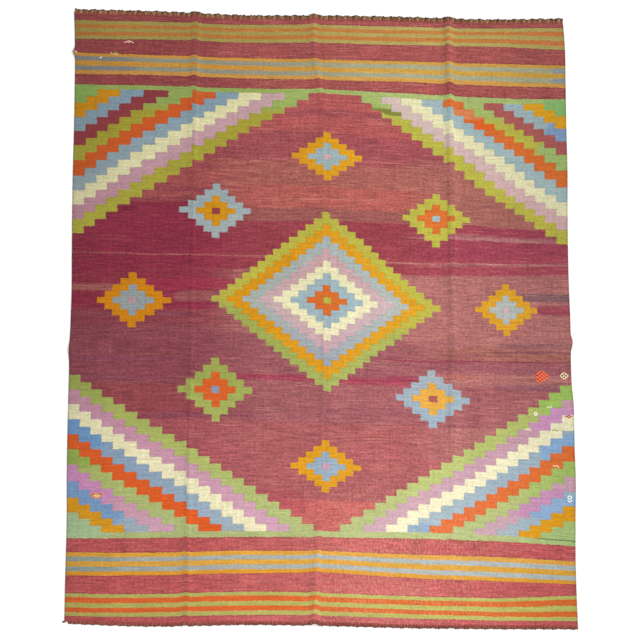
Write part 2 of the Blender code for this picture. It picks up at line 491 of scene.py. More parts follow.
# ---------------------------------------------------------------------------------------------------------
# Node graphs


@dataclass(frozen=True)
class Grain:
    """One soft noise over the woven cloth."""

    across: float  # bumps to a metre across the rug
    along: float  # and along it
    reach: float  # how strongly it acts, in the unit of what it changes
    detail: float  # how many finer layers are added
    shift: float  # moves the noise, so that no two are alike


class Graph:
    """Adds the nodes of one tree in the order in which they are worked out, and returns their outputs."""

    def __init__(self, tree: bpy.types.NodeTree) -> None:
        """Starts on a tree."""
        self.tree = tree

    def node(self, kind: str, *values: Value, **settings: object) -> bpy.types.Node:
        """Adds a node.

        Args:
            kind: The node's type name.
            values: Numbers or outputs for its first inputs, in their order.
            settings: Values for its properties.

        Returns:
            The node.
        """
        made = self.tree.nodes.new(kind)
        for name, setting in settings.items():
            setattr(made, name, setting)
        for socket, value in zip(made.inputs, values):
            self.feed(socket, value)
        return made

    def feed(self, socket: Socket, value: object) -> None:
        """Links an output to an input, or sets the input to a plain value.

        Args:
            socket: The input.
            value: The output or the value.
        """
        if isinstance(value, bpy.types.NodeSocket):
            self.tree.links.new(value, socket)
        else:
            socket.default_value = value

    def math(self, operation: str, *values: Value) -> Socket:
        """One step of arithmetic on up to three values."""
        return self.node("ShaderNodeMath", *values, operation=operation).outputs[0]

    def apart(self, value: Value, other: Value) -> Socket:
        """How far two numbers are apart."""
        return self.math("ABSOLUTE", self.math("SUBTRACT", value, other))

    def within(self, value: Value, target: float, reach: float) -> Socket:
        """1 where a value lies within reach of a target, 0 elsewhere."""
        return self.math("COMPARE", value, target, reach)

    def fade(self, value: Value, start: float, end: float, low: float = 0.0, high: float = 1.0) -> Socket:
        """Goes smoothly from low at start to high at end, and stays level past them."""
        return self.node(
            "ShaderNodeMapRange", value, start, end, low, high, interpolation_type="SMOOTHSTEP"
        ).outputs[0]

    def lerp(self, share: Value, low: Value, high: Value) -> Socket:
        """Mixes two numbers.

        Args:
            share: How much of the high one is taken.
            low: The first number.
            high: The second number.

        Returns:
            The mixed number.
        """
        made = self.node("ShaderNodeMix", share, data_type="FLOAT")
        self.feed(made.inputs[2], low)
        self.feed(made.inputs[3], high)
        return made.outputs[0]

    def blend(self, share: Value, low: object, high: object, mode: str = "MIX") -> Socket:
        """Mixes two colours.

        Args:
            share: How much of the high one is taken.
            low: The first colour.
            high: The second colour, or a number that stands for a grey.
            mode: The way in which the second colour acts on the first.

        Returns:
            The mixed colour.
        """
        made = self.node("ShaderNodeMix", data_type="RGBA", blend_type=mode, clamp_factor=True)
        sockets = {socket.identifier: socket for socket in made.inputs}
        for name, value in (("Factor_Float", share), ("A_Color", low), ("B_Color", high)):
            self.feed(sockets[name], (*value, 1.0) if isinstance(value, tuple) else value)
        return next(socket for socket in made.outputs if socket.identifier == "Result_Color")

    def ramp(self, at: Value, stops: Sequence[tuple[float, Colour]], steps: bool = False) -> Socket:
        """A colour ramp.

        Args:
            at: Where it is read, from 0 to 1.
            stops: Places and colours, in rising order.
            steps: True where each colour holds until the next stop.

        Returns:
            The colour.
        """
        made = self.node("ShaderNodeValToRGB", at)
        made.color_ramp.interpolation = "CONSTANT" if steps else "LINEAR"
        elements = made.color_ramp.elements
        elements.remove(elements[1])
        for index, (place, colour) in enumerate(stops):
            stop = elements[0] if index == 0 else elements.new(place)
            stop.position = place
            stop.color = (*colour, 1.0)
        return made.outputs[0]

    def shade(self, colour: Socket, light: Socket) -> Socket:
        """A colour times a light, which is a number or a grey."""
        return self.blend(1.0, colour, light, "MULTIPLY")

    def bump(self, height: Socket, depth: float) -> Socket:
        """The normal of a surface with a fine relief.

        Args:
            height: The relief's height, as a share of the depth.
            depth: The depth in metres.

        Returns:
            The normal.
        """
        made = self.node("ShaderNodeBump")
        made.inputs["Distance"].default_value = depth
        self.feed(made.inputs["Height"], height)
        return made.outputs[0]


class ClothGraph(Graph):
    """A graph over the woven cloth: it knows the woven place, as a vector and as s and t."""

    def __init__(self, tree: bpy.types.NodeTree) -> None:
        """Starts on a tree by reading the UV map named woven."""
        super().__init__(tree)
        self.woven = self.node("ShaderNodeUVMap", uv_map="woven").outputs[0]
        self.s, self.t, _ = self.node("ShaderNodeSeparateXYZ", self.woven).outputs

    def noise(self, grain: Grain) -> Socket:
        """Soft noise of about 0.5.

        Args:
            grain: The noise's size and layers.

        Returns:
            The noise, from 0 to 1.
        """
        moved = self.node("ShaderNodeMapping", self.woven)
        moved.inputs["Location"].default_value = (grain.shift, -0.7 * grain.shift, 0.0)
        moved.inputs["Scale"].default_value = (grain.across, grain.along, 1.0)
        made = self.node("ShaderNodeTexNoise", noise_dimensions="2D")
        self.feed(made.inputs["Vector"], moved.outputs[0])
        made.inputs["Scale"].default_value = 1.0
        made.inputs["Detail"].default_value = grain.detail
        return made.outputs[0]

    def drift(self, place: Socket, grains: Sequence[Grain]) -> Socket:
        """Lets a place wander: each grain adds its noise less a half, times its reach.

        Args:
            place: A place across or along the rug.
            grains: The noises that are added.

        Returns:
            The place with all drifts added.
        """
        for grain in grains:
            start = self.math("SUBTRACT", place, grain.reach / 2)
            place = self.math("MULTIPLY_ADD", self.noise(grain), grain.reach, start)
        return place


def dull_finish(name: str, roughness: float, shine: float) -> tuple[bpy.types.Material, bpy.types.Node]:
    """Starts a material with little gloss.

    Args:
        name: The material's name.
        roughness: The shader's roughness.
        shine: The shader's specular level.

    Returns:
        The material and its shader.
    """
    material = bpy.data.materials.new(name)
    material.use_nodes = True
    shader = material.node_tree.nodes["Principled BSDF"]
    shader.inputs["Roughness"].default_value = roughness
    shader.inputs["Specular IOR Level"].default_value = shine
    return material, shader


# ---------------------------------------------------------------------------------------------------------
# Dyes and pattern of the cloth


class Dye(IntEnum):
    """The dyed yarns. The value is the yarn's number in the pattern."""

    RED = 0
    GREEN = 1
    GOLD = 2
    BLUE = 3
    CRIMSON = 4
    ORANGE = 5
    CREAM = 6
    LILAC = 7


DYE_SCALE = 16  # a dye's number is carried through the graph as a sixteenth
SAME_DYE = 0.4 / DYE_SCALE  # how near a carried number has to be to a dye's own


def carried(dye: Dye) -> Colour:
    """A dye's number as a grey."""
    return (dye / DYE_SCALE,) * 3


@dataclass(frozen=True)
class Zone:
    """A stretch of the rug over which one colour ramp runs, in millimetres of t.

    The renderer reads a ramp in 256 steps, so sharp stripes need short zones.
    """

    low: float
    high: float

    def share(self, place: float) -> float:
        """A place as a share of the zone."""
        return (place - self.low) / (self.high - self.low)

    def along(self, graph: Graph, t: Socket) -> Socket:
        """The woven place t as a share of the zone."""
        span = (self.high - self.low) * MM
        return graph.math("MULTIPLY_ADD", t, 1 / span, -self.low * MM / span)

    def held(self, lots: Sequence[tuple[float, Colour]], soft: float = 0.0) -> list[tuple[float, Colour]]:
        """Ramp stops for colours that each hold from their upper edge down to the next one's.

        Args:
            lots: Upper edges and colours, from the far end to the near end.
            soft: Half the length over which one colour runs into the next, in millimetres. Where it is 0 the
                stops are meant for a ramp in steps.

        Returns:
            The stops in rising order.
        """
        stops = [(0.0, next(colour for top, colour in reversed(lots) if top > self.low))]
        for (_, above), (top, below) in reversed(list(zip(lots[:-1], lots[1:]))):
            if self.low < top < self.high and above != below:
                if soft:
                    stops.append((self.share(top - soft), below))
                stops.append((self.share(top + soft), above))
        return stops


WHOLE = Zone(-1340, 1320)
FAR_END = Zone(950, 1310)
NEAR_END = Zone(-1330, -940)
FAR_HALF = Zone(0, 1000)
NEAR_HALF = Zone(-1000, 0)

# Dye lots of the red wool, as a dyer would note them
REDS = {
    "umber": "933F39", "russet": "B04946", "brick": "B85148", "oxblood": "9E4B4C", "henna": "AA5654",
    "rose": "B65A59", "garnet": "9A4950", "plum": "A75358", "tile": "A85352", "blush": "B86159",
    "salmon": "B0655C", "taupe": "A15C58", "wine": "933147", "crimson": "9D424D", "cherry": "963647",
    "clay": "B2706D", "fig": "94454F", "mulberry": "944B55", "heather": "A25E64", "rosewood": "A76165",
    "ruby": "AA4C5A", "rust": "AE585F", "blossom": "B16062", "madder": "C86561", "coral": "C76564",
    "cerise": "C0595B", "sienna": "C45E50", "fawn": "A9685F", "berry": "A24456",
}

Lots = tuple[tuple[float, str], ...]

# Red lots from the far end to the near end, each from its upper t in millimetres
RED_LEFT: Lots = (
    (1330, "umber"), (1250, "russet"), (1024, "oxblood"), (960, "tile"), (705, "garnet"), (652, "tile"),
    (628, "garnet"), (604, "tile"), (528, "garnet"), (505, "tile"), (478, "garnet"), (457, "wine"),
    (236, "cherry"), (226, "wine"), (142, "cherry"), (62, "wine"), (-8, "fig"), (-88, "mulberry"),
    (-345, "garnet"), (-462, "mulberry"), (-488, "rust"), (-960, "cerise"),
)
RED_MIDDLE: Lots = (
    (1330, "umber"), (1250, "brick"), (1024, "henna"), (960, "rose"), (884, "plum"), (852, "rose"),
    (780, "plum"), (645, "salmon"), (545, "blush"), (442, "taupe"), (382, "crimson"), (234, "plum"),
    (222, "crimson"), (175, "clay"), (-120, "heather"), (-296, "ruby"), (-320, "rosewood"),
    (-430, "heather"), (-462, "rosewood"), (-500, "blossom"), (-822, "madder"), (-960, "coral"),
)
RED_RIGHT: Lots = (
    (1330, "umber"), (1250, "sienna"), (1024, "henna"), (960, "rose"), (780, "plum"), (680, "fawn"),
    (382, "berry"), (345, "rosewood"), (322, "berry"), (250, "ruby"), (232, "rosewood"), (218, "ruby"),
    (180, "clay"), (-148, "fawn"), (-205, "heather"), (-256, "clay"), (-312, "rosewood"), (-500, "clay"),
    (-640, "blossom"), (-822, "madder"), (-960, "cerise"),
)
REDS_ACROSS = (RED_LEFT, RED_MIDDLE, RED_RIGHT)

# The other dyes, on the left and on the right half: t in millimetres and colour
LOTS: dict[Dye, tuple[Lots, Lots]] = {
    Dye.GREEN: (
        (
            (1300, "AC9C54"), (1190, "AC9C54"), (1000, "A0B261"), (900, "9CB25E"), (860, "AEA438"),
            (500, "B4AE42"), (150, "C4BC48"), (40, "C0B84A"), (0, "A8AE54"), (-300, "A3AC56"),
            (-600, "B8C26A"), (-950, "B6C080"), (-1190, "B9B462"), (-1310, "BCB464"),
        ),
        (
            (1300, "B8A660"), (1190, "B8A660"), (1000, "AEBE78"), (900, "A8BC68"), (860, "BDB84A"),
            (-60, "C0B84A"), (-100, "ACB45A"), (-700, "BCC678"), (-950, "B6C282"), (-1190, "BAB864"),
            (-1310, "B8B662"),
        ),
    ),
    Dye.GOLD: (
        (
            (1110, "D89A46"), (1070, "D79A3E"), (1025, "D79C50"), (1000, "DC9718"), (0, "DE9814"),
            (-1000, "E8A322"), (-1040, "E6A840"), (-1080, "E4AA46"), (-1120, "E49C30"),
        ),
        (
            (1110, "D29E48"), (1070, "D2A448"), (1025, "D8A052"), (1000, "E6A820"), (0, "DEA228"),
            (-1000, "E29E1A"), (-1040, "DEA448"), (-1080, "DCA43C"), (-1120, "DE9C32"),
        ),
    ),
    Dye.BLUE: (
        (
            (1100, "9E9C86"), (1030, "9E9C86"), (960, "8CA6B6"), (600, "9CAEB4"), (400, "A8B6B8"),
            (250, "A8B0AC"), (0, "AEB6B0"), (-250, "9AA0AC"), (-500, "86A0BC"), (-900, "A4B6C6"),
            (-1030, "ACB2AA"), (-1060, "ACB2AA"),
        ),
        (
            (1100, "ACAC8C"), (1030, "ACAC8C"), (960, "A2B8BC"), (400, "AAC0C0"), (0, "B6BAB4"),
            (-250, "A4B0B8"), (-500, "9CB0BE"), (-900, "A6BAC4"), (-1030, "AEB8B6"), (-1060, "AEB8B6"),
        ),
    ),
    Dye.CRIMSON: (((0, "9B4247"),), ((0, "B05E5A"),)),
    Dye.ORANGE: (
        ((1260, "C1803F"), (900, "D8602A"), (0, "DC6828"), (-900, "EA6228"), (-1240, "E26A32")),
        ((1260, "C48242"), (900, "DE7032"), (0, "DA7630"), (-900, "E47038"), (-1240, "D66C31")),
    ),
    Dye.CREAM: (((900, "EBE5B2"), (-900, "F8EFC6")), ((900, "E8E3B6"), (-900, "F5EDC8"))),
    Dye.LILAC: (
        (
            (950, "CBA5AA"), (700, "CFA4AC"), (400, "C792A0"), (150, "CCA6AA"), (0, "CFB0B2"),
            (-450, "CE96AA"), (-950, "D8A6BA"),
        ),
        (
            (950, "D2BCB4"), (500, "D8B2B2"), (150, "CEA8AA"), (0, "D2B6B8"), (-450, "CA9CAC"),
            (-950, "CEA8B4"),
        ),
    ),
}

# Stripes of both ends, each from its upper t in millimetres
STRIPES: tuple[tuple[float, Dye], ...] = (
    (1312, Dye.RED), (1277, Dye.GREEN), (1261.6, Dye.ORANGE), (1245.2, Dye.GREEN), (1227.8, Dye.ORANGE),
    (1209.8, Dye.GREEN), (1192.9, Dye.RED), (1116.6, Dye.GOLD), (1102.2, Dye.BLUE), (1081.4, Dye.GOLD),
    (1060, Dye.BLUE), (1040.6, Dye.GOLD), (1023.8, Dye.RED), (979.8, Dye.GREEN), (-953.3, Dye.GREEN),
    (-979.1, Dye.RED), (-1036.9, Dye.GOLD), (-1053.2, Dye.BLUE), (-1069.7, Dye.GOLD), (-1090.4, Dye.BLUE),
    (-1108.2, Dye.GOLD), (-1125.6, Dye.RED), (-1208.8, Dye.GREEN), (-1223.4, Dye.ORANGE),
    (-1244.9, Dye.GREEN), (-1263.1, Dye.ORANGE), (-1284.0, Dye.GREEN), (-1301.2, Dye.RED),
)
FAR_BAND = 0.961  # t at which the stripes of the far end start, in metres
NEAR_BAND = -0.9533  # and those of the near end


@dataclass(frozen=True)
class Steps:
    """A stepped figure: rings of cells counted out from a centre cell, or bands counted from a corner."""

    centre: tuple[float, float]  # s and t in millimetres
    cell: tuple[float, float]  # a cell's size across and along, in millimetres
    rings: tuple[Dye, ...]
    first: int = 1  # how many rings the first colour has
    corner: bool = False

    def starts(self) -> list[int]:
        """The ring at which each colour starts, and where the last one ends. All but the first have two."""
        return [0, *(self.first + 2 * index for index in range(len(self.rings)))]


SHARED_DYES = (Dye.GREEN, Dye.ORANGE, Dye.BLUE, Dye.CREAM, Dye.LILAC)
FAR_DYES = (Dye.GREEN, Dye.GOLD, Dye.BLUE, Dye.CRIMSON, *SHARED_DYES, Dye.GREEN)
NEAR_DYES = (Dye.GREEN, Dye.GOLD, Dye.BLUE, Dye.LILAC, *SHARED_DYES, Dye.GREEN)
MEDALLION_DYES = (*SHARED_DYES, Dye.BLUE, Dye.GOLD, Dye.GREEN)
LILAC_EYE = (Dye.LILAC, Dye.BLUE, Dye.GOLD)
RED_EYE = (Dye.CRIMSON, Dye.GOLD, Dye.BLUE)
BLUE_EYE = (Dye.BLUE, Dye.ORANGE, Dye.GREEN)

FIGURES: tuple[Steps, ...] = (
    Steps((-1025, 961), (48.3, 32.35), FAR_DYES, first=2, corner=True),
    Steps((1025, 961), (42.95, 31.95), FAR_DYES, first=2, corner=True),
    Steps((-1025, -953.3), (47.3, 30.7), NEAR_DYES, first=3, corner=True),
    Steps((1025, -954.3), (45.3, 31.2), NEAR_DYES, first=3, corner=True),
    Steps((17.5, 31), (32.8, 27.0), MEDALLION_DYES),
    Steps((20, 674.5), (32.3, 24.1), LILAC_EYE),
    Steps((-439, 424.6), (34.0, 26.4), RED_EYE),
    Steps((478.5, 413.6), (31.0, 26.9), BLUE_EYE),
    Steps((-769, 26.8), (33.0, 27.3), LILAC_EYE),
    Steps((765.4, 30.2), (29.2, 24.8), LILAC_EYE),
    Steps((-435.5, -364.3), (34.2, 30.1), BLUE_EYE),
    Steps((452, -374.9), (32.9, 28.4), RED_EYE),
    Steps((9, -681), (31.9, 24.7), LILAC_EYE),
)
MOST_RINGS = 32  # more than any figure has, so a ring's share of it stays under 1
ALONG_WARP_FINER = 3.0  # the painted shade line at a change of colour along a warp is finer by this


@dataclass(frozen=True)
class Streak:
    """A few picks of another lot that taper out: centre, half length and half height in millimetres."""

    s: float
    t: float
    length: float
    height: float
    lot: str
    strength: float


# Streaks by the dye that they show on, in the order in which they are laid
STREAKS: dict[Dye, tuple[Streak, ...]] = {
    Dye.RED: (
        Streak(-640, 231, 400, 3, "C07A70", 0.45), Streak(-930, 84, 190, 16, "B87A6C", 0.5),
        Streak(-520, 44, 95, 26, "AA6C66", 0.55), Streak(-550, 102, 220, 26, "A8344F", 0.65),
        Streak(-540, -6, 110, 14, "A23450", 0.5), Streak(985, 86, 185, 19, "7E5C64", 0.85),
        Streak(990, 32, 120, 20, "A23E54", 0.85), Streak(940, -130, 260, 13, "80545F", 0.4),
        Streak(640, -176, 180, 4, "8A4C5E", 0.5), Streak(880, -157, 190, 6, "7E4A5C", 0.6),
        Streak(900, -310, 190, 14, "8C566A", 0.5), Streak(560, -272, 60, 10, "C46E5C", 0.5),
        Streak(800, 330, 450, 7, "C0848A", 0.5), Streak(620, 226, 430, 3, "CE9088", 0.5),
        Streak(-120, -303, 300, 10, "A8405A", 0.8), Streak(180, -300, 200, 10, "A03E56", 0.6),
        Streak(760, -200, 300, 3.4, "8E3C50", 0.8), Streak(430, -209, 200, 5, "9C3C52", 0.7),
        Streak(370, -289, 110, 13, "9E3C56", 0.7), Streak(-190, -850, 130, 70, "B2525A", 0.6),
        Streak(150, 660, 480, 2, "D88C80", 0.5), Streak(-250, 603, 260, 3, "CC7F76", 0.45),
        Streak(0, 483, 260, 2, "DC9488", 0.5), Streak(700, -232, 300, 4, "98586A", 0.5),
        Streak(-800, -236, 260, 9, "8E4C60", 0.5), Streak(-870, -316, 220, 9, "8C4A60", 0.5),
        Streak(-480, -470, 220, 7, "8E4C62", 0.55), Streak(-780, -34, 260, 7, "8C5060", 0.5),
        Streak(960, -318, 130, 9, "93586A", 0.5),
    ),
    Dye.GREEN: (
        Streak(250, 900, 50, 11, "7A782C", 0.8), Streak(310, 887, 50, 9, "7A782C", 0.8),
        Streak(975, 690, 75, 75, "A2BE74", 0.9), Streak(1010, 925, 100, 60, "84C074", 0.75),
        Streak(-1010, 930, 110, 60, "92B95E", 0.8), Streak(-1010, -620, 180, 70, "9AB452", 0.85),
        Streak(-1000, -925, 190, 60, "B0CEA2", 0.75), Streak(1015, -920, 160, 60, "A8C47C", 0.75),
        Streak(1020, -655, 110, 45, "8EAA54", 0.7), Streak(1010, -690, 190, 200, "A8C26A", 0.7),
        Streak(1020, -370, 140, 70, "9CC45E", 0.8), Streak(985, -955.5, 125, 2.6, "4E6A46", 0.85),
    ),
    Dye.BLUE: (
        Streak(1045, 1094, 75, 18, "8296AE", 0.6), Streak(1045, 1052, 75, 18, "8296AE", 0.6),
        Streak(-1030, -1080, 240, 50, "93A39A", 0.8), Streak(17, 31, 190, 130, "9CBAC6", 0.7),
        Streak(1010, -810, 190, 60, "8CB0DC", 0.7), Streak(400, -940, 80, 26, "84A2C6", 0.65),
        Streak(1020, -570, 130, 70, "84B0E0", 0.7), Streak(1030, 810, 90, 60, "7A9CCA", 0.75),
        Streak(-1025, 1060, 260, 70, "84868C", 0.6), Streak(-1040, -520, 210, 110, "74A0D0", 0.85),
        Streak(-1000, -800, 260, 130, "7CA4D2", 0.85), Streak(-769, 27, 220, 170, "99A4A6", 0.9),
    ),
    Dye.LILAC: (
        Streak(890, -790, 160, 70, "CC8EBC", 0.7), Streak(1000, -450, 150, 60, "D090C6", 0.7),
        Streak(-1010, -730, 230, 110, "D890C6", 0.75), Streak(-769, 27, 60, 60, "BE989B", 0.9),
    ),
    Dye.ORANGE: (
        Streak(700, 855, 90, 26, "E66420", 0.8), Streak(610, 905, 80, 24, "DC8858", 0.8),
        Streak(1000, 1240, 130, 50, "D47A48", 0.6),
    ),
    Dye.CRIMSON: (Streak(-1000, 940, 500, 40, "8A3A42", 0.4),),
    Dye.GOLD: (
        Streak(-769, 27, 220, 170, "DC8A0E", 0.9), Streak(452, -375, 190, 160, "E6AC4A", 0.9),
    ),
}


@dataclass(frozen=True)
class WovenWool:
    """The weft-faced cloth: its pattern, the abrash of its dyes, its ribs and its wear, and painted light and
    shade.
    """

    half_width: float  # of the rug
    # Hand weaving wanders: noise that is added to s and to t, in metres
    wander_across: tuple[Grain, ...] = (Grain(5.0, 9.0, 0.01, 2.0, 3.1), Grain(20.0, 260.0, 0.008, 1.0, 1.3))
    wander_along: tuple[Grain, ...] = (Grain(5.0, 3.0, 0.006, 2.0, 7.7), Grain(110.0, 30.0, 0.006, 1.0, 5.9))
    lot_wander: tuple[Grain, ...] = (Grain(2.2, 6.0, 0.03, 2.0, 11.0),)  # of the red lots' ends
    # Where the left lots run into the middle ones, the middle into the right, and the left half into the
    # right one, in metres
    left_to_middle: tuple[float, float] = (-0.55, -0.2)
    middle_to_right: tuple[float, float] = (0.3, 0.6)
    left_to_right: tuple[float, float] = (-0.35, 0.35)
    streak_rim: tuple[float, float] = (1.3, 0.5)  # where a streak's oval starts to show and where it is full
    soft_edge: float = 1.5  # half the run of one red lot into the next, in millimetres
    # Painted light falloff across the rug, darker towards both sides and most on the left: s in millimetres,
    # share of light
    painted_light_across: Table = (
        (-1025, 0.60), (-950, 0.66), (-750, 0.75), (-500, 0.80), (-250, 0.87), (0, 0.92),
        (250, 1.0), (500, 1.0), (750, 0.91), (950, 0.80), (1025, 0.76),
    )
    painted_light_span: float = 2.1  # the width over which the ramp of painted light runs, in metres
    ends: tuple[float, float] = (-1.3, 1.3)  # t of the near and the far end, in metres
    far_end_painted_light: float = 0.86  # painted light falloff: the share of light at the far end, beside the near one
    # What makes the wool uneven: picks, single yarns, ribs over the warps, clouds and grain
    uneven: tuple[Grain, ...] = (
        Grain(12.0, 130.0, 0.85, 2.0, 21.0),
        Grain(34.0, 420.0, 0.45, 1.0, 29.0),
        Grain(85.0, 5.0, 0.28, 2.0, 35.0),
        Grain(4.0, 9.0, 0.34, 3.0, 41.0),
        Grain(90.0, 115.0, 0.8, 1.0, 47.0),
    )
    calm: float = 0.5  # contrast of the other dyes' yarns beside the red ones
    slit: tuple[float, float] = (0.00048, 0.00256)  # half width of the painted shade at a slit: its dark core, and its whole line
    # share of light that the painted shade leaves in a slit's core
    painted_slit_light: float = 0.82
    stripe_shade_width: float = 0.0042  # width of the painted shade in the red wool where a red stripe ends
    rim: tuple[float, float] = (0.001, 0.007)  # in from the side, where the selvedge's shade is full and ends
    rim_light: float = 0.78
    # Pale and dark threads of the red wool, gathered in areas and weaker where the wool is deep in colour
    slubs: tuple[tuple[Grain, str], ...] = (
        (Grain(6.5, 240.0, 0.34, 1.0, 51.0), "D49480"),
        (Grain(9.0, 270.0, 0.36, 1.0, 53.0), "72303A"),
    )
    slub_areas: Grain = Grain(2.0, 14.0, 0.35, 2.0, 57.0)
    slub_range: tuple[float, float] = (0.76, 0.98)
    # The colour's green part in deep wool and in pale wool, and the threads' share in deep wool
    slub_depth: tuple[float, float, float] = (0.03, 0.10, 0.25)
    # Pale warps that glint between the ribs, most where the near end is worn: middle s, half width, and t
    # from and to
    worn_part: tuple[float, float, float, float] = (0.36, 0.55, -0.55, -0.95)
    glints: Grain = Grain(165.0, 48.0, 0.22, 1.0, 83.0)
    glint_range: tuple[float, float] = (0.44, 0.74)
    warp_colour: str = "E8C4A6"
    # Painted shade and painted light in lines beside the ridges, in millimetres: the ridge's place in the map
    # named fold, distance to the right, half width, far end, near end and share of light that it adds or
    # takes
    crease_painted_shading: Table = (
        (-100, 5, 12, 1400, -600, -0.13),
        (-100, 2, 18, -600, -1400, -0.14),
        (-100, 20, 12, 1400, -1400, 0.05),
        (0, 15, 12, 850, -900, -0.09),
        (0, -9, 10, 0, -600, -0.07),
        (100, -19, 11, 850, -550, -0.13),
    )
    crease_core: float = 0.2  # the share of a line's half width over which it is level
    crease_fade: float = 0.05  # half the length over which a line dies out, in metres
    # The fine surface: ribs over the warps that wander a little, picks between them, and slubs in the yarn
    rib_pitch: float = 0.0031
    rib_height: float = 0.16
    rib_wander: Grain = Grain(9.0, 2.0, 0.012, 1.0, 61.0)
    yarn_heights: tuple[Grain, ...] = (
        Grain(60.0, 800.0, 0.5, 1.0, 67.0),
        Grain(18.0, 150.0, 0.9, 2.0, 71.0),
    )
    relief_depth: float = 0.9 * MM

    def make(self) -> bpy.types.Material:
        """Builds the material.

        Returns:
            The material, which reads the UV maps named woven and fold.
        """
        material, shader = dull_finish("woven_wool", 0.95, 0.12)
        graph = ClothGraph(material.node_tree)
        shader.inputs["Sheen Weight"].default_value = 0.08
        shader.inputs["Sheen Roughness"].default_value = 0.5

        s = graph.drift(graph.s, self.wander_across)
        t = graph.drift(graph.t, self.wander_along)
        number, gap = self.pattern(graph, s, t)
        plain = graph.within(number, 0.0, SAME_DYE)
        colour = graph.shade(self.dyed(graph, s, t, number), self.light(graph, plain, gap))
        colour = self.bared(graph, self.threaded(graph, plain, colour))
        graph.feed(shader.inputs["Base Color"], graph.shade(colour, self.crease_painted_light(graph)))
        graph.feed(shader.inputs["Normal"], self.relief(graph))
        return material

    def pattern(self, graph: ClothGraph, s: Socket, t: Socket) -> tuple[Socket, Socket]:
        """Lays the stepped figures over the red field and the stripes over both.

        Args:
            graph: The material's graph.
            s: Place across the rug.
            t: Place along the rug.

        Returns:
            The dye's number and the distance to the next change of colour in the same figure.
        """
        number: Value = 0.0
        gap: Value = 1.0
        for figure in FIGURES:
            number, gap = self.lay_steps(graph, s, t, figure, number, gap)
        striped = [(top, carried(dye)) for top, dye in STRIPES]
        for zone, edge, test in ((FAR_END, FAR_BAND, "GREATER_THAN"), (NEAR_END, NEAR_BAND, "LESS_THAN")):
            inside = graph.math(test, t, edge)
            places = (t, graph.math("ADD", t, self.stripe_shade_width), graph.math("SUBTRACT", t, self.stripe_shade_width))
            stops = zone.held(striped)
            dye, *beside = (graph.ramp(zone.along(graph, at), stops, steps=True) for at in places)
            red = graph.math("LESS_THAN", dye, SAME_DYE)
            other = graph.math("GREATER_THAN", graph.math("MAXIMUM", *beside), SAME_DYE)
            number = graph.lerp(inside, number, dye)
            edge_gap = graph.math("SUBTRACT", 1.0, graph.math("MULTIPLY", red, other))
            gap = graph.lerp(inside, gap, edge_gap)
        return number, gap

    def lay_steps(
        self, graph: ClothGraph, s: Socket, t: Socket, figure: Steps, number: Value, gap: Value
    ) -> tuple[Socket, Socket]:
        """Lays one stepped figure over what is there.

        A place's cell is its distance from the centre in cells, rounded down, on each axis. The ring is the
        sum of both. The colour changes on the outer side of a cell where the ring is the last of its colour
        and on the inner side where it is the first, which gives the distance to the nearest change.

        Args:
            graph: The material's graph.
            s: Place across the rug.
            t: Place along the rug.
            figure: The figure.
            number: The dye's number so far.
            gap: The distance to a change so far.

        Returns:
            The new dye's number and distance.
        """
        half = 0.0 if figure.corner else 0.5
        cells = []
        for place, centre, cell in zip((s, t), figure.centre, figure.cell):
            cells.append(graph.math("MULTIPLY_ADD", graph.apart(place, centre * MM), 1 / (cell * MM), half))
        floors = [graph.math("FLOOR", cell) for cell in cells]
        ring = graph.math("ADD", *floors)
        odd = graph.math("FLOORED_MODULO", graph.math("ADD", ring, float(figure.first % 2)), 2.0)
        gaps = []
        for cell, floor, size in zip(cells, floors, figure.cell):
            part = graph.math("SUBTRACT", graph.math("ADD", odd, floor), cell)
            gaps.append(graph.math("MULTIPLY", graph.math("ABSOLUTE", part), size * MM))
        near = graph.math("MINIMUM", gaps[0], graph.math("MULTIPLY", gaps[1], ALONG_WARP_FINER))
        starts = figure.starts()
        at = graph.math("MULTIPLY_ADD", ring, 1 / MOST_RINGS, 0.5 / MOST_RINGS)
        stops = [(start / MOST_RINGS, carried(dye)) for start, dye in zip(starts, figure.rings)]
        dye = graph.ramp(at, stops, steps=True)
        inside = graph.math("LESS_THAN", ring, starts[len(figure.rings)] - 0.5)
        return graph.lerp(inside, number, dye), graph.lerp(inside, gap, near)

    def dyed(self, graph: ClothGraph, s: Socket, t: Socket, number: Socket) -> Socket:
        """Turns dye numbers into wool colours, whose lots change along the rug and from left to right.

        Args:
            graph: The material's graph.
            s: Place across the rug.
            t: Place along the rug.
            number: The dye's number.

        Returns:
            The colour of the wool.
        """
        loose = graph.drift(t, self.lot_wander)
        upper = graph.math("GREATER_THAN", loose, 0.0)
        left, middle, right = (self.red(graph, loose, upper, lots) for lots in REDS_ACROSS)
        colour = graph.blend(graph.fade(s, *self.left_to_middle), left, middle)
        colour = graph.blend(graph.fade(s, *self.middle_to_right), colour, right)
        half = graph.fade(s, *self.left_to_right)
        level = WHOLE.along(graph, t)
        for dye, sides in LOTS.items():
            wool = graph.blend(half, *(self.lot(graph, level, side) for side in sides))
            colour = graph.blend(graph.within(number, dye / DYE_SCALE, SAME_DYE), colour, wool)
        for dye, streaks in STREAKS.items():
            here = graph.within(number, dye / DYE_SCALE, SAME_DYE)
            for streak in streaks:
                colour = self.lay_streak(graph, s, t, here, colour, streak)
        return colour

    def red(self, graph: ClothGraph, t: Socket, upper: Socket, lots: Lots) -> Socket:
        """The red wool along t: each lot holds over its length and runs softly into the next.

        Args:
            graph: The material's graph.
            t: Place along the rug.
            upper: 1 in the far half, 0 in the near one.
            lots: The lots from the far end to the near end.

        Returns:
            The colour of the red wool.
        """
        named = [(top, rgb(REDS[name])) for top, name in lots]
        zones = (NEAR_HALF, FAR_HALF)
        halves = [graph.ramp(zone.along(graph, t), zone.held(named, self.soft_edge)) for zone in zones]
        return graph.blend(upper, *halves)

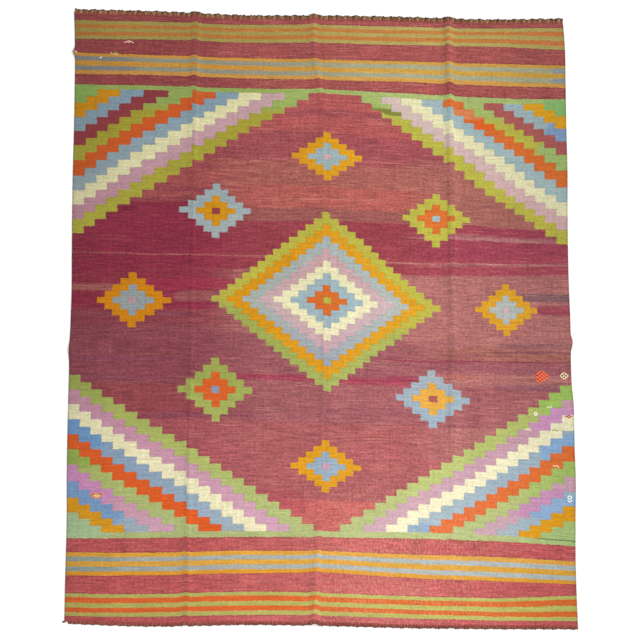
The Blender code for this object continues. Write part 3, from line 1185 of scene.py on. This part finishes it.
    @staticmethod
    def lot(graph: ClothGraph, at: Socket, stops: Lots) -> Union[Socket, Colour]:
        """One dye's lots along t.

        Args:
            graph: The material's graph.
            at: Place along the rug, as a share of it.
            stops: The lots from the far end to the near end.

        Returns:
            The colour, which runs evenly from lot to lot, or the dye's only colour.
        """
        if len(stops) == 1:
            return rgb(stops[0][1])
        return graph.ramp(at, [(WHOLE.share(place), rgb(code)) for place, code in reversed(stops)])

    def lay_streak(
        self, graph: ClothGraph, s: Socket, t: Socket, here: Socket, colour: Socket, streak: Streak
    ) -> Socket:
        """Lays a tapering streak where its dye is.

        It is a long flat oval: the fourth power of the share of its length plus the square of that of its
        height. It fades in over the oval's rim.

        Args:
            graph: The material's graph.
            s: Place across the rug.
            t: Place along the rug.
            here: 1 where the streak's dye is.
            colour: The colour so far.
            streak: The streak.

        Returns:
            The colour with the streak.
        """
        side = graph.math("MULTIPLY_ADD", s, 1 / (streak.length * MM), -streak.s / streak.length)
        rise = graph.math("MULTIPLY_ADD", t, 1 / (streak.height * MM), -streak.t / streak.height)
        oval = graph.math("ADD", graph.math("POWER", side, 4.0), graph.math("POWER", rise, 2.0))
        share = graph.fade(oval, *self.streak_rim, 0.0, streak.strength)
        return graph.blend(graph.math("MULTIPLY", share, here), colour, rgb(streak.lot))

    def light(self, graph: ClothGraph, plain: Socket, gap: Socket) -> Socket:
        """How much light the cloth keeps: a painted light falloff across the rug and towards the far end,
        uneven yarns, painted shade in the slits and beside the ends of red stripes, and painted shade along
        the selvedges.

        Args:
            graph: The material's graph.
            plain: 1 where the wool is red.
            gap: The distance to the next change of colour.

        Returns:
            The light as a grey.
        """
        # Painted light falloff: darker towards both sides, most on the left
        across = graph.math("MULTIPLY_ADD", graph.s, 1 / self.painted_light_span, 0.5)
        stops = [(0.5 + place * MM / self.painted_light_span, (share,) * 3) for place, share in self.painted_light_across]
        light: Value = 1.0
        for grain in self.uneven:
            part = graph.math("MULTIPLY_ADD", graph.noise(grain), grain.reach, 1 - grain.reach / 2)
            light = graph.math("MULTIPLY", light, part)
        contrast = graph.math("MULTIPLY_ADD", plain, 1 - self.calm, self.calm)
        # Painted light falloff: darker towards the far end
        end = graph.fade(graph.t, *self.ends, 1.0, self.far_end_painted_light)
        light = graph.math("MULTIPLY", end, graph.math("POWER", light, contrast))
        # Painted shade in the slits at each change of colour, and in the red wool beside the end of a red
        # stripe
        painted_shade_at_change = graph.fade(gap, *self.slit, self.painted_slit_light, 1.0)
        light = graph.math("MULTIPLY", light, painted_shade_at_change)
        inward = graph.math("SUBTRACT", self.half_width, graph.math("ABSOLUTE", graph.s))
        light = graph.math("MULTIPLY", light, graph.fade(inward, *self.rim, self.rim_light, 1.0))
        return graph.shade(graph.ramp(across, stops), light)

    def threaded(self, graph: ClothGraph, plain: Socket, colour: Socket) -> Socket:
        """Adds the pale and the dark threads to the red wool.

        Args:
            graph: The material's graph.
            plain: 1 where the wool is red.
            colour: The colour so far.

        Returns:
            The colour with the threads.
        """
        areas = graph.noise(self.slub_areas)
        green = graph.node("ShaderNodeSeparateColor", colour).outputs[1]
        deep, full, least = self.slub_depth
        plain = graph.math("MULTIPLY", plain, graph.fade(green, deep, full, least, 1.0))
        for grain, tint in self.slubs:
            thread = graph.math("MULTIPLY_ADD", areas, self.slub_areas.reach, graph.noise(grain))
            share = graph.fade(thread, *self.slub_range, 0.0, grain.reach)
            colour = graph.blend(graph.math("MULTIPLY", share, plain), colour, rgb(tint))
        return colour

    def bared(self, graph: ClothGraph, colour: Socket) -> Socket:
        """Lets the pale warps glint between the ribs of the worn part.

        Args:
            graph: The material's graph.
            colour: The colour so far.

        Returns:
            The colour with the glints.
        """
        middle, wide, start, end = self.worn_part
        side = graph.fade(graph.apart(graph.s, middle), wide / 3, wide, 1.0, 0.0)
        part = graph.math("MULTIPLY", side, graph.fade(graph.t, start, end))
        glint = graph.fade(graph.noise(self.glints), *self.glint_range, 0.0, self.glints.reach)
        return graph.blend(graph.math("MULTIPLY", part, glint), colour, rgb(self.warp_colour))

    def crease_painted_light(self, graph: ClothGraph) -> Socket:
        """Painted light and shade in lines beside the ridges: a bell across each, soft at both ends.

        Args:
            graph: The material's graph.

        Returns:
            The light, 1 where there is no line.
        """
        fold = graph.node("ShaderNodeUVMap", uv_map="fold").outputs[0]
        off = graph.node("ShaderNodeSeparateXYZ", fold).outputs[0]
        light: Value = 1.0
        for ridge, offset, half, top, bottom, share in self.crease_painted_shading:
            away = graph.apart(off, (ridge + offset) * MM)
            line = graph.fade(away, self.crease_core * half * MM, half * MM, 1.0, 0.0)
            reach = (top - bottom) / 2 * MM
            far = graph.apart(graph.t, (top + bottom) / 2 * MM)
            part = graph.fade(far, reach - self.crease_fade, reach + self.crease_fade, share, 0.0)
            light = graph.math("MULTIPLY", light, graph.math("MULTIPLY_ADD", line, part, 1.0))
        return light

    def relief(self, graph: ClothGraph) -> Socket:
        """The fine surface: the sine of the ribs and the noise of picks and slubs, each times its height.

        Args:
            graph: The material's graph.

        Returns:
            The normal.
        """
        phase = graph.math("MULTIPLY_ADD", graph.noise(self.rib_wander), self.rib_wander.reach, graph.s)
        rib = graph.math("SINE", graph.math("MULTIPLY", phase, 2 * math.pi / self.rib_pitch))
        height = graph.math("MULTIPLY", rib, self.rib_height)
        for grain in self.yarn_heights:
            height = graph.math("MULTIPLY_ADD", graph.noise(grain), grain.reach, height)
        return graph.bump(height, self.relief_depth)


# ---------------------------------------------------------------------------------------------------------
# Pieces


@dataclass(frozen=True)
class Wave:
    """A sine wave that is bent by a slower one of the other woven coordinate."""

    rate: float
    bend: float
    bend_rate: float
    bend_start: float = 0.0
    start: float = 0.0

    def height(self, at: Array, beside: Array) -> Array:
        """The sine of: rate times at, plus bend times the sine of the other place, plus the start."""
        bent = self.bend * np.sin(self.bend_rate * beside + self.bend_start)
        return np.sin(self.rate * at + bent + self.start)


@dataclass
class Cloth:
    """The woven sheet: a fine grid on both faces, joined by a rounded selvedge."""

    shape: RugShape
    near_columns: int = 9  # grid steps beside a ridge
    near_step: float = 0.0032
    wide_columns: int = 36  # grid steps in the middle of a span
    rows: int = 214
    cord_width: float = 0.005  # the side selvedges are a little thicker
    cord_height: float = 0.0006
    cockle: float = 0.0011  # height of the ripples
    # Each ripple's share of that height, its wave across and its wave along the rug
    ripples: tuple[tuple[float, Wave, Wave], ...] = (
        (0.6, Wave(5.1, 1.7, 2.3), Wave(8.3, 1.1, 3.7, start=0.6)),
        (0.4, Wave(23.0, 4.0, 3.1, bend_start=0.4), Wave(41.0, 3.0, 4.3)),
    )
    fold_reach: float = 0.05  # how far beside a ridge the map named fold runs on
    rim_angles: tuple[float, ...] = (45.0, 90.0, 135.0)
    map_margin: float = 0.006  # free rim of the map OFBake

    def columns(self) -> Array:
        """The grid's columns: close together beside each ridge and at both sides, even between."""
        span = self.shape.width / 4
        near = np.arange(self.near_columns) * self.near_step / span
        middle = np.linspace(near[-1], 1 - near[-1], self.wide_columns)[1:-1]
        one = np.concatenate([near, middle, 1 - near[:0:-1]])
        return np.concatenate([*(one + index for index in range(4)), [4.0]])

    def folds(self, x: Array, y: Array) -> Array:
        """The distance to the right of the nearest ridge, where it is small.

        Each ridge adds its distance, held within the reach to both sides. So the middle ridge is at 0, and
        the others at two reaches to the left and to the right of that.

        Args:
            x: Places across the floor.
            y: Places along the floor.

        Returns:
            The sum of the three distances.
        """
        offs = (x - read(self.shape.ridges, ridge, y) for ridge in RIDGES)
        return sum(np.clip(off, -self.fold_reach, self.fold_reach) for off in offs)

    def relief(self, s: Array, t: Array) -> Array:
        """Low unevenness: selvedge cords along the sides, and long ripples where the weaving pulls.

        A ripple is the product of two waves whose lengths share no measure, squared so that it only rises.

        Args:
            s: Places across the rug.
            t: Places along the rug.

        Returns:
            Heights to add.
        """
        inward = self.shape.width / 2 - np.abs(s)
        cord = self.cord_height * np.exp(-((inward / self.cord_width) ** 2))
        parts = (part * (side.height(s, t) * rise.height(t, s)) ** 2 for part, side, rise in self.ripples)
        return cord + self.cockle * sum(parts)

    def build(self, material: bpy.types.Material) -> bpy.types.Object:
        """Makes the piece.

        Both faces are one grid, a thickness apart. Rings of points join them around the edge: each point
        stands out by the sine of its ring's angle and up by the cosine, times half the thickness.

        Args:
            material: The woven wool.

        Returns:
            The cloth, with its maps woven, fold and OFBake.
        """
        shape = self.shape
        u, t = np.meshgrid(self.columns(), np.linspace(shape.near_t, shape.far_t, self.rows + 1))
        s = shape.across(u, t)
        low = shape.place(s, t)
        low[..., 2] += self.relief(s, t) - self.relief(s, t).min()
        high = low + np.array([0.0, 0.0, shape.thickness])
        rows, columns = u.shape
        index = np.arange(rows * columns).reshape(rows, columns)
        loop = np.concatenate([index[0, :-1], index[:-1, -1], index[-1, :0:-1], index[:0:-1, 0]])
        flat = low.reshape(-1, 3)

        # The way out from each point of the edge
        rim = flat[loop]
        along = np.roll(rim, -1, 0) - np.roll(rim, 1, 0)
        out = np.stack([along[:, 1], -along[:, 0]], -1)
        out /= np.linalg.norm(out, axis=1, keepdims=True)
        woven = np.stack([s, t], -1).reshape(-1, 2)
        folds = np.stack([self.folds(low[..., 0], low[..., 1]), t], -1).reshape(-1, 2)

        # Both faces, then the rings around the edge
        points, places, rings = [high.reshape(-1, 3), flat], [woven, woven], [loop]
        half = shape.thickness / 2
        for angle in np.radians(self.rim_angles):
            ring = rim + np.array([0.0, 0.0, half + half * np.cos(angle)])
            ring[:, :2] += out * half * np.sin(angle)
            rings.append(len(flat) * 2 + len(loop) * (len(rings) - 1) + np.arange(len(loop)))
            points.append(ring)
            places.append(woven[loop] + out * half * np.sin(angle))
        rings.append(loop + len(flat))

        corners = [index[:-1, :-1], index[:-1, 1:], index[1:, 1:], index[1:, :-1]]
        top = np.stack(corners, -1).reshape(-1, 4)
        faces = [top, top[:, ::-1] + len(flat)]
        for upper, lower in zip(rings[:-1], rings[1:]):
            faces.append(np.stack([upper, lower, np.roll(lower, -1), np.roll(upper, -1)], -1))
        piece = make_piece("kilim_sheet", np.concatenate(points), np.concatenate(faces), material)

        woven = np.concatenate(places)
        lay_map(piece, "woven", woven)
        lay_map(piece, "fold", np.concatenate([folds, folds, *(folds[loop] for _ in self.rim_angles)]))
        size = np.array([shape.width, shape.far_t - shape.near_t])
        middle = np.array([0.0, (shape.far_t + shape.near_t) / 2])
        lay_map(piece, "OFBake", 0.5 + (woven - middle) / size * (1 - 2 * self.map_margin))
        return piece


@dataclass(frozen=True)
class BunchedEnd:
    """Warp ends twisted into short locks along one end of the cloth, over a row of twined binding."""

    name: str
    end: End
    reach: float  # how far the locks stand out from the strip that binds them
    per_bunch: int  # locks made from each of the solids' bunches
    strands: int
    tail: float = 0.0  # how far the first lock sweeps out to the left
    bunches: tuple[int, ...] = (22, 23, 25, 21)  # bunches between one ridge or side and the next
    strip: float = 0.0018
    lean: float = 0.30  # of the pitch
    lean_waves: tuple[float, ...] = (0.55, 0.45, 2.4, 0.7)  # even share, uneven share and its two rates
    curve: float = 1.3  # the power by which a lock leans more towards its tip
    # How far each lock reaches, as a share: an even one, and two waves by their height and rate
    length_waves: tuple[float, ...] = (0.82, 0.12, 1.9, 0.06, 0.83)
    tail_reach: float = 0.35  # how far the tail still stands out, as a share of a lock
    # Half widths along a lock, of the pitch, and heights, of the full height
    spread: tuple[float, ...] = (0.26, 0.36, 0.46, 0.52, 0.52, 0.34)
    height: tuple[float, ...] = (0.5, 0.8, 1.0, 0.95, 0.85, 0.6)
    full_height: float = 0.0022
    clearance: float = 0.00015  # under a lock
    seat: float = 1.05  # how high a lock's middle lies over that, of its height
    turns: float = 0.4
    twist_step: float = 0.37  # each lock's twist starts so much further round than the last one's
    # A yarn's way out from its lock's middle and its half size, as shares of the lock's half width and
    # height. Its half width is also divided by the root of the number of strands
    winding: tuple[float, float] = (0.5, 0.42)
    yarn_size: tuple[float, float] = (1.15, 0.6)
    sides: int = 5  # points around a yarn
    blush: float = 0.45  # how far up a lock the red of the last wefts reaches
    blush_level: float = 1.15  # its strength at the root, where all over 1 counts as 1
    tip_rise: float = 2.4  # how fast the tip's colour comes in
    tint: float = 0.8  # the most that root and tip take of the yarn's own colour
    root: str = "934A44"
    yarns: tuple[str, ...] = ("8E6A48", "62422F", "9C7850", "70503C", "7E523C", "A2805A", "6A4834", "886042")
    tips: str = "3A2A22"
    root_depth: float = 0.009  # how far in from the cloth's end the locks begin, on top of it
    twine_radius: float = 0.0011
    twine_pitch: float = 0.012
    twine_rings: int = 6  # to one turn
    twine_spread: float = 0.75  # a ply's way out from the middle, of its radius
    twine_inset: float = 0.002  # how far its ends stay in from the sides
    plies: tuple[str, str] = ("87463E", "9C6450")

    def centres(self) -> tuple[Array, Array]:
        """Lays out the locks: a bunch on every ridge, and the outer ones half a pitch in from the sides.

        Returns:
            The column and the pitch of each lock.
        """
        places, pitches = [], []
        last = len(self.bunches) - 1
        for span, count in enumerate(self.bunches):
            pitch = 1.0 / (count + 0.5) if span in (0, last) else 1.0 / count
            first = pitch / 2 if span == 0 else span + pitch
            number = count + 1 if span == 0 else count
            places += [first + pitch * step for step in range(number)]
            pitches += [pitch] * number
        offsets = (np.arange(self.per_bunch) + 0.5) / self.per_bunch - 0.5
        pitch = np.array(pitches)
        spread = np.array(places)[:, None] + pitch[:, None] * offsets
        return spread.ravel(), np.repeat(pitch, self.per_bunch) / self.per_bunch

    def locks(self, shape: RugShape) -> tuple[Array, Array, Array]:
        """The locks' yarns: each winds around its lock's middle line, which leans to one side.

        A lock's lean and length differ from its neighbours' by slow sines of its number.

        Args:
            shape: The rug's shape.

        Returns:
            Paths, half widths and half heights, each as locks, strands, steps.
        """
        u, pitch_u = self.centres()
        count = len(u)
        t = np.full(count, shape.end_t(self.end))
        root = shape.place(shape.across(u, t), t)
        quarter = 0.25 * pitch_u
        side = shape.place(shape.across(np.minimum(u + quarter, 4.0), t), t)
        back = shape.place(shape.across(np.maximum(u - quarter, 0.0), t), t)
        weft = side - back
        pitch = np.linalg.norm(weft, axis=1) * 2
        weft /= np.linalg.norm(weft, axis=1, keepdims=True)

        number = np.arange(count)
        even, uneven, quick, slow = self.lean_waves
        lean = self.lean * pitch * (even + uneven * np.sin(quick * number) * np.cos(slow * number))
        even, first, quick, second, slow = self.length_waves
        reach = self.reach * (even + first * np.cos(quick * number) + second * np.cos(slow * number))
        share = np.linspace(0.0, 1.0, len(self.spread))
        out = -self.root_depth + share * ((self.strip + reach)[:, None] + self.root_depth)
        if self.tail:
            lean[0] = -self.tail
            out[0] *= self.tail_reach
        middle = root[:, None] + weft[:, None] * (lean[:, None] * share**self.curve)[..., None]
        middle = middle + np.array([0.0, self.end, 0.0]) * out[..., None]

        high = np.array(self.height) * self.full_height
        wide = np.array(self.spread) * pitch[:, None]
        over = np.clip(-out / self.root_depth, 0.0, 1.0) * shape.thickness
        middle[..., 2] = root[:, None, 2] + over + self.clearance + self.seat * high
        strand = np.arange(self.strands)[None, :, None] / self.strands
        turn = 2 * np.pi * (self.turns * share + strand + (self.twist_step * number)[:, None, None])
        sideways, upwards = self.winding
        path = middle[:, None] + weft[:, None, None] * (sideways * wide[:, None] * np.cos(turn))[..., None]
        path[..., 2] += upwards * high * np.sin(turn)
        yarn_width, yarn_height = self.yarn_size
        half_width = np.broadcast_to(yarn_width / math.sqrt(self.strands) * wide[:, None], path.shape[:3])
        return path, half_width, np.broadcast_to(yarn_height * high, path.shape[:3])

    def colours(self, count: int) -> Array:
        """The yarns' colours, blushed with red at the root and dark at the tip.

        The palette steps on by one with each lock, by one more after every fifth and by three with each
        strand, so that neighbours differ.

        Args:
            count: How many locks there are.

        Returns:
            Linear colours, as locks, strands, steps, rgb.
        """
        palette = np.array([rgb(name) for name in self.yarns])
        lock, strand = np.meshgrid(np.arange(count), np.arange(self.strands), indexing="ij")
        pick = (lock + lock // 5 + strand * 3) % len(palette)
        share = np.linspace(0.0, 1.0, len(self.spread))[None, None, :, None]
        tip = np.clip(1 - self.tip_rise * (1 - share), 0, 1) * self.tint
        yarn = palette[pick][:, :, None, :] * (1 - tip) + np.array(rgb(self.tips)) * tip
        blush = np.clip(self.blush_level - share / self.blush, 0, 1) * self.tint
        return yarn * (1 - blush) + np.array(rgb(self.root)) * blush

    def twine(self, shape: RugShape) -> Array:
        """Two plies that wind around each other along the strip.

        Args:
            shape: The rug's shape.

        Returns:
            Their paths, as plies, steps, xyz.
        """
        steps = int(shape.width / self.twine_pitch * self.twine_rings)
        s = np.linspace(-0.5, 0.5, steps) * (shape.width - 2 * self.twine_inset)
        line = shape.place(s, np.full(steps, shape.end_t(self.end)))
        line[:, 1] += self.end * (self.strip - self.twine_radius)
        line[:, 2] += shape.thickness / 2
        angle = np.arange(steps) * 2 * np.pi / self.twine_rings + np.array([[0.0], [np.pi]])
        path = np.repeat(line[None], 2, 0)
        path[..., 1] += self.twine_spread * self.twine_radius * np.cos(angle)
        path[..., 2] += self.twine_spread * self.twine_radius * np.sin(angle)
        return path

    def build(self, shape: RugShape, material: bpy.types.Material) -> bpy.types.Object:
        """Makes the piece.

        Args:
            shape: The rug's shape.
            material: The yarn's finish, which reads the colour attribute named yarn.

        Returns:
            The end's locks and twine in one mesh.
        """
        path, wide, high = self.locks(shape)
        locks, _, steps = path.shape[:3]
        flat = path.reshape(-1, steps, 3)
        rings = tube(flat, UP, wide.reshape(-1, steps), high.reshape(-1, steps), self.sides)
        faces = tube_faces(len(flat), steps, self.sides)
        colours = np.repeat(self.colours(locks).reshape(-1, 3), self.sides, 0)

        twine = self.twine(shape)
        radius = np.full(twine.shape[:2], self.twine_radius)
        cord = tube(twine, UP, radius, radius, self.sides)
        cord_faces = tube_faces(2, twine.shape[1], self.sides) + rings.size // 3
        cord_colours = np.repeat([rgb(ply) for ply in self.plies], twine.shape[1] * self.sides, 0)
        points = np.concatenate([rings.reshape(-1, 3), cord.reshape(-1, 3)])
        points[:, 2] = np.maximum(points[:, 2], 0.0)
        piece = make_piece(self.name, points, np.concatenate([faces, cord_faces]), material)
        paint_points(piece, "yarn", np.concatenate([colours, cord_colours]))
        return piece


Line = tuple[tuple[float, float], ...]


@dataclass(frozen=True)
class Stitches:
    """Raised stitches in one colour: lines in millimetres from the motif's centre, and their width."""

    colour: str
    lines: tuple[Line, ...]
    width: float


@dataclass(frozen=True)
class Motif:
    """A small brocaded motif. Its centre is in woven millimetres."""

    centre: tuple[float, float]
    stitches: tuple[Stitches, ...]


def winged(colour: str, eye: str, drop: float = 4.0, span: float = 15.0) -> tuple[Stitches, ...]:
    """A diamond with an eye and a wing on each side, drawn in millimetres.

    Args:
        colour: The outline's and the wings' colour.
        eye: The eye's colour.
        drop: How far the wings' tips hang under the diamond's middle.
        span: How far they reach out.

    Returns:
        The motif's stitches.
    """
    rhomb = ((0, 6), (5.4, 0), (0, -6.3), (-5.4, 0), (0, 6))
    wings = (((-span, -drop), (-2.7, 3)), ((2.7, 3), (span, -drop - 1)))
    return (Stitches(eye, (((-1.5, 0), (1.5, 0)),), 4.5), Stitches(colour, (rhomb, *wings), 3.6))


def lattice(colour: str, ground: str) -> tuple[Stitches, ...]:
    """An uneven lozenge of crossed diagonals: three holes one way, and four the other.

    Args:
        colour: The diagonals' colour.
        ground: The colour in the holes.

    Returns:
        The motif's stitches.
    """
    first, second = np.array([9.8, -8.7]), np.array([-9.2, -7.2])  # from one hole to the next, both ways

    def spot(i: float, j: float) -> tuple[float, float]:
        """The place so many holes along each way."""
        return tuple(first * i + second * j)

    down = [(spot(-0.5, -0.5), spot(-0.5, 2.5))]
    down += [(spot(i, -0.5), spot(i, 3.5)) for i in (0.5, 1.5, 2.5)]
    cross = [(spot(-0.5, j), spot(2.5, j)) for j in (-0.5, 0.5, 1.5, 2.5)]
    cross += [(spot(0.5, 3.5), spot(2.5, 3.5))]
    fill = [(spot(-0.3, j), spot(2.3, j)) for j in (0, 1, 2)] + [(spot(0.7, 3), spot(2.3, 3))]
    return (Stitches(ground, tuple(fill), 9.0), Stitches(colour, (*down, *cross), 5.6))


def ring_of(half_width: float, half_height: float) -> Line:
    """A diamond's outline."""
    return ((0, half_height), (half_width, 0), (0, -half_height), (-half_width, 0), (0, half_height))


MOTIFS: tuple[Motif, ...] = (
    Motif((-794, 1181), winged("DCC0A0", "5A4030", 6.0, 21.0)),
    Motif(
        (-844, 1121),
        (
            Stitches("77743F", (((-9, 1), (9, 1)), ((-8, 4), (8, 4)), ((-4, 7), (5, 7))), 4.0),
            Stitches("E2CE84", (((-13, -4), (12, -4.5)),), 4.0),
            Stitches("E8C4B4", (((-18.5, 2), (-14.5, -3)),), 4.0),
        ),
    ),
    Motif((-914.7, 1098), (Stitches("E4E0BE", (((-5, -2.5), (4, 3)), ((-3, -3), (5, 1))), 4.5),)),
    Motif((911, -243), lattice("EA7456", "A8382C")),
    Motif(
        (999.4, -257.6),
        (
            Stitches("4A3626", (((-9, 0), (9, 0)), ((0, -8), (0, 8))), 9.0),
            Stitches(
                "F6DDB6", (ring_of(15.5, 15), ((-7.6, -7.4), (7.6, 7.4)), ((-7.6, 7.4), (7.6, -7.4))), 4.4
            ),
        ),
    ),
    Motif((931.8, -390.9), (Stitches("ECF2CC", (((-12, -1), (-1, -1.5), (4, 3.5), (11, -3.5)),), 4.0),)),
    Motif((874.7, -419.5), (Stitches("F2F6E2", (ring_of(7.5, 7.8),), 4.6),)),
    Motif((1006, -429.3), winged("B43A30", "E8C0A0", 1.0)),
    Motif((842.5, -484), winged("F4E8C4", "A0707A", 4.0, 15.5)),
    Motif(
        (954, -485.6),
        (Stitches("8C9040", (((-10.5, -3.5), (-6, 2), (-1, 1), (5, -2.5), (11, 1)),), 3.4),),
    ),
    Motif(
        (953, -633),
        (
            Stitches(
                "F6D6A6", (((-12.5, 4), (-6.5, -1.5), (-0.5, 0.7), (3.7, 4), (8, -3.7), (12.5, -1)),), 4.2
            ),
        ),
    ),
    Motif(
        (1003.3, -761),
        (Stitches("ECF3DA", (ring_of(8.4, 8.8), ((-9, -11), (0, -19.5), (9.5, -11))), 5.2),),
    ),
    Motif(
        (-902, -796),
        (
            Stitches("D6923C", (((-20, 2), (20, 2)), ((-13, -3), (14, -3)), ((-7, -8), (7, -8))), 6.0),
            Stitches("B86A38", (((-22, 3), (-17, 7), (-9, 4)), ((8, 4), (15, 7), (23, 3))), 4.6),
            Stitches("F2D498", (((-15, -1), (0, 4.5), (14, -3)), ((-8, -5), (0, -1), (8, -6))), 3.6),
            Stitches(
                "DE8C86",
                (((-29, 2), (-17, 13), (0, 8), (17, 12.5), (30, 4)), ((-29, 2), (0, -14), (30, 4))),
                4.2,
            ),
        ),
    ),
    Motif((-1017, 1122), (Stitches("E6CFA4", (((-5, 5), (2, -2), (7, -4)),), 4.0),)),
)


@dataclass(frozen=True)
class BrocadedMotifs:
    """The small motifs that the weaver laid in as raised stitches."""

    shape: RugShape
    rise: float = 0.0005  # how far the stitches' middle stands over the cloth
    layer: float = 0.00025  # each colour of a motif stands a little over the last
    half_height: float = 0.0008
    swell: tuple[float, ...] = (0.8, 1.0, 1.0, 0.8)  # a stitch's size from ring to ring
    sides: int = 6  # points around a stitch

    def build(self, material: bpy.types.Material) -> bpy.types.Object:
        """Makes the piece.

        Args:
            material: The yarn's finish, which reads the colour attribute named yarn.

        Returns:
            All motifs in one mesh.
        """
        starts, stops, widths, lifts, colours = [], [], [], [], []
        for motif in MOTIFS:
            centre = np.array(motif.centre)
            for layer, stitches in enumerate(motif.stitches):
                for line in stitches.lines:
                    for start, stop in zip(line[:-1], line[1:]):
                        starts.append((centre + start) * MM)
                        stops.append((centre + stop) * MM)
                        widths.append(stitches.width * MM / 2)
                        lifts.append(self.rise + self.layer * layer)
                        colours.append(rgb(stitches.colour))
        steps = len(self.swell)
        share = np.linspace(0, 1, steps)[None, :, None]
        start, stop = np.array(starts)[:, None], np.array(stops)[:, None]
        woven = start + (stop - start) * share
        s, t = woven[..., 0], woven[..., 1]
        up = self.shape.facing(s, t)[2]
        path = self.shape.place(s, t) + up * (self.shape.thickness + np.array(lifts))[:, None, None]
        half_width = np.array(widths)[:, None] * self.swell
        half_height = self.half_height * np.broadcast_to(self.swell, half_width.shape)
        rings = tube(path, up, half_width, half_height, self.sides)
        faces = tube_faces(len(path), steps, self.sides)
        piece = make_piece("brocaded_motifs", rings.reshape(-1, 3), faces, material)
        paint_points(piece, "yarn", np.repeat(colours, steps * self.sides, 0))
        return piece


@dataclass(frozen=True)
class PaintedYarn:
    """Yarn that takes its colour from the points' colour attribute, with uneven spinning and painted shade in
    the hollows of its bumps.
    """

    name: str
    slubs: float  # bumps to a metre
    depth: float  # height of the bumps in metres
    uneven: float = 0.6  # how far bumps and hollows differ in light: painted shade in the hollows, painted light on the bumps

    def make(self) -> bpy.types.Material:
        """Builds the material.

        Returns:
            The material, which reads the colour attribute named yarn.
        """
        material, shader = dull_finish(self.name, 0.95, 0.1)
        graph = Graph(material.node_tree)
        yarn = graph.node("ShaderNodeAttribute", attribute_name="yarn").outputs["Color"]
        grain = graph.node("ShaderNodeTexNoise", graph.node("ShaderNodeTexCoord").outputs["Object"])
        grain.inputs["Scale"].default_value = self.slubs
        grain.inputs["Detail"].default_value = 2.0
        # Painted shade: the same noise as the bumps darkens the yarn's hollows and lightens its tops
        light = graph.math("MULTIPLY_ADD", grain.outputs[0], self.uneven, 1 - self.uneven / 2)
        graph.feed(shader.inputs["Base Color"], graph.shade(yarn, light))
        graph.feed(shader.inputs["Normal"], graph.bump(grain.outputs[0], self.depth))
        return material


@dataclass(frozen=True)
class Studio:
    """Pale floor, soft light from the right and the camera of the photo."""

    floor_half: float = 30.0
    floor_drop: float = 0.4 * MM  # how far the floor lies under the rug
    floor_grey: float = 0.97
    surround: float = 0.80  # strength of the white light from all sides
    key: float = 1.6  # strength of the light from the right
    key_width: float = 10.0  # how wide it looks from the rug, in degrees
    key_turn: tuple[float, float] = (12.0, 40.0)  # degrees about X and Y
    centre: tuple[float, float] = (0.0045, -0.050)  # where the middle of the view meets the floor
    distance: float = 14.0
    elevation: float = 70.0
    metres_per_pixel: float = 0.0041
    frame_pixels: float = 640.0
    sensor: float = 36.0

    def build(self) -> None:
        """Makes the floor, the lights and the camera."""
        self.floor()
        self.lights()
        self.camera()

    def floor(self) -> None:
        """A wide plain floor just under the rug."""
        half = self.floor_half
        points = np.array([(-half, -half, 0), (half, -half, 0), (half, half, 0), (-half, half, 0)])
        points[:, 2] = -self.floor_drop
        material, shader = dull_finish("pale_floor", 0.9, 0.0)
        shader.inputs["Base Color"].default_value = (*(self.floor_grey,) * 3, 1.0)
        make_piece("floor", points, np.array([[0, 1, 2, 3]]), material)

    def lights(self) -> None:
        """A white surround and a wide soft key from the right."""
        world = bpy.data.worlds.new("white_surround")
        world.use_nodes = True
        background = world.node_tree.nodes["Background"]
        background.inputs["Color"].default_value = (1.0, 1.0, 1.0, 1.0)
        background.inputs["Strength"].default_value = self.surround
        bpy.context.scene.world = world
        light = bpy.data.lights.new("key", "SUN")
        light.energy = self.key
        light.angle = math.radians(self.key_width)
        key = bpy.data.objects.new("key", light)
        key.rotation_euler = (*(math.radians(turn) for turn in self.key_turn), 0.0)
        bpy.context.scene.collection.objects.link(key)

    def camera(self) -> None:
        """The camera at the photo's angle, with a long lens."""
        data = bpy.data.cameras.new("camera")
        data.sensor_width = self.sensor
        data.lens = self.sensor * self.distance / self.metres_per_pixel / self.frame_pixels
        data.clip_end = 100.0
        camera = bpy.data.objects.new("camera", data)
        lean = math.radians(self.elevation)
        camera.location = (
            self.centre[0],
            self.centre[1] - self.distance * math.cos(lean),
            self.distance * math.sin(lean),
        )
        camera.rotation_euler = (math.radians(90.0 - self.elevation), 0.0, 0.0)
        bpy.context.scene.collection.objects.link(camera)
        bpy.context.scene.camera = camera
        bpy.context.scene.view_settings.view_transform = "Standard"


def finish_piece(piece: bpy.types.Object, slot: str, *nodes: str) -> None:
    """Rides a piece on the rug's body and hides the solids that it stands for.

    Args:
        piece: The piece.
        slot: The name of its slot. Not used.
        nodes: The solids that it stands for.
    """
    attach(piece, "root")
    if nodes:
        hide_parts(*nodes)
    LOG.info("%s: %d faces", piece.name, len(piece.data.polygons))


def main() -> None:
    """Builds the studio and the rug."""
    logging.basicConfig(level=logging.INFO, format="%(name)s: %(message)s")
    Studio().build()
    shape = RugShape()
    warps = PaintedYarn("bunched_warps", slubs=420.0, depth=0.4 * MM).make()
    far = BunchedEnd("warp_locks_far", End.FAR, reach=0.017, per_bunch=2, strands=2).build(shape, warps)
    near = BunchedEnd(
        "warp_locks_near", End.NEAR, reach=0.0115, per_bunch=2, strands=3, tail=0.014, blush=1.0,
        yarns=("8A5040", "6C3C34", "A07256", "7A463A"), tips="5A3430", root_depth=0.004,
    ).build(shape, warps)
    motifs = BrocadedMotifs(shape).build(PaintedYarn("brocade_yarn", slubs=260.0, depth=0.3 * MM).make())
    cloth = Cloth(shape).build(WovenWool(shape.width / 2).make())
    finish_piece(far, "bunched_warps", "bunched_warps_far")
    finish_piece(near, "bunched_warps", "bunched_warps_near")
    finish_piece(motifs, "woven_wool")
    finish_piece(cloth, "woven_wool", "kilim_cloth")


if __name__ == "__main__":
    main()
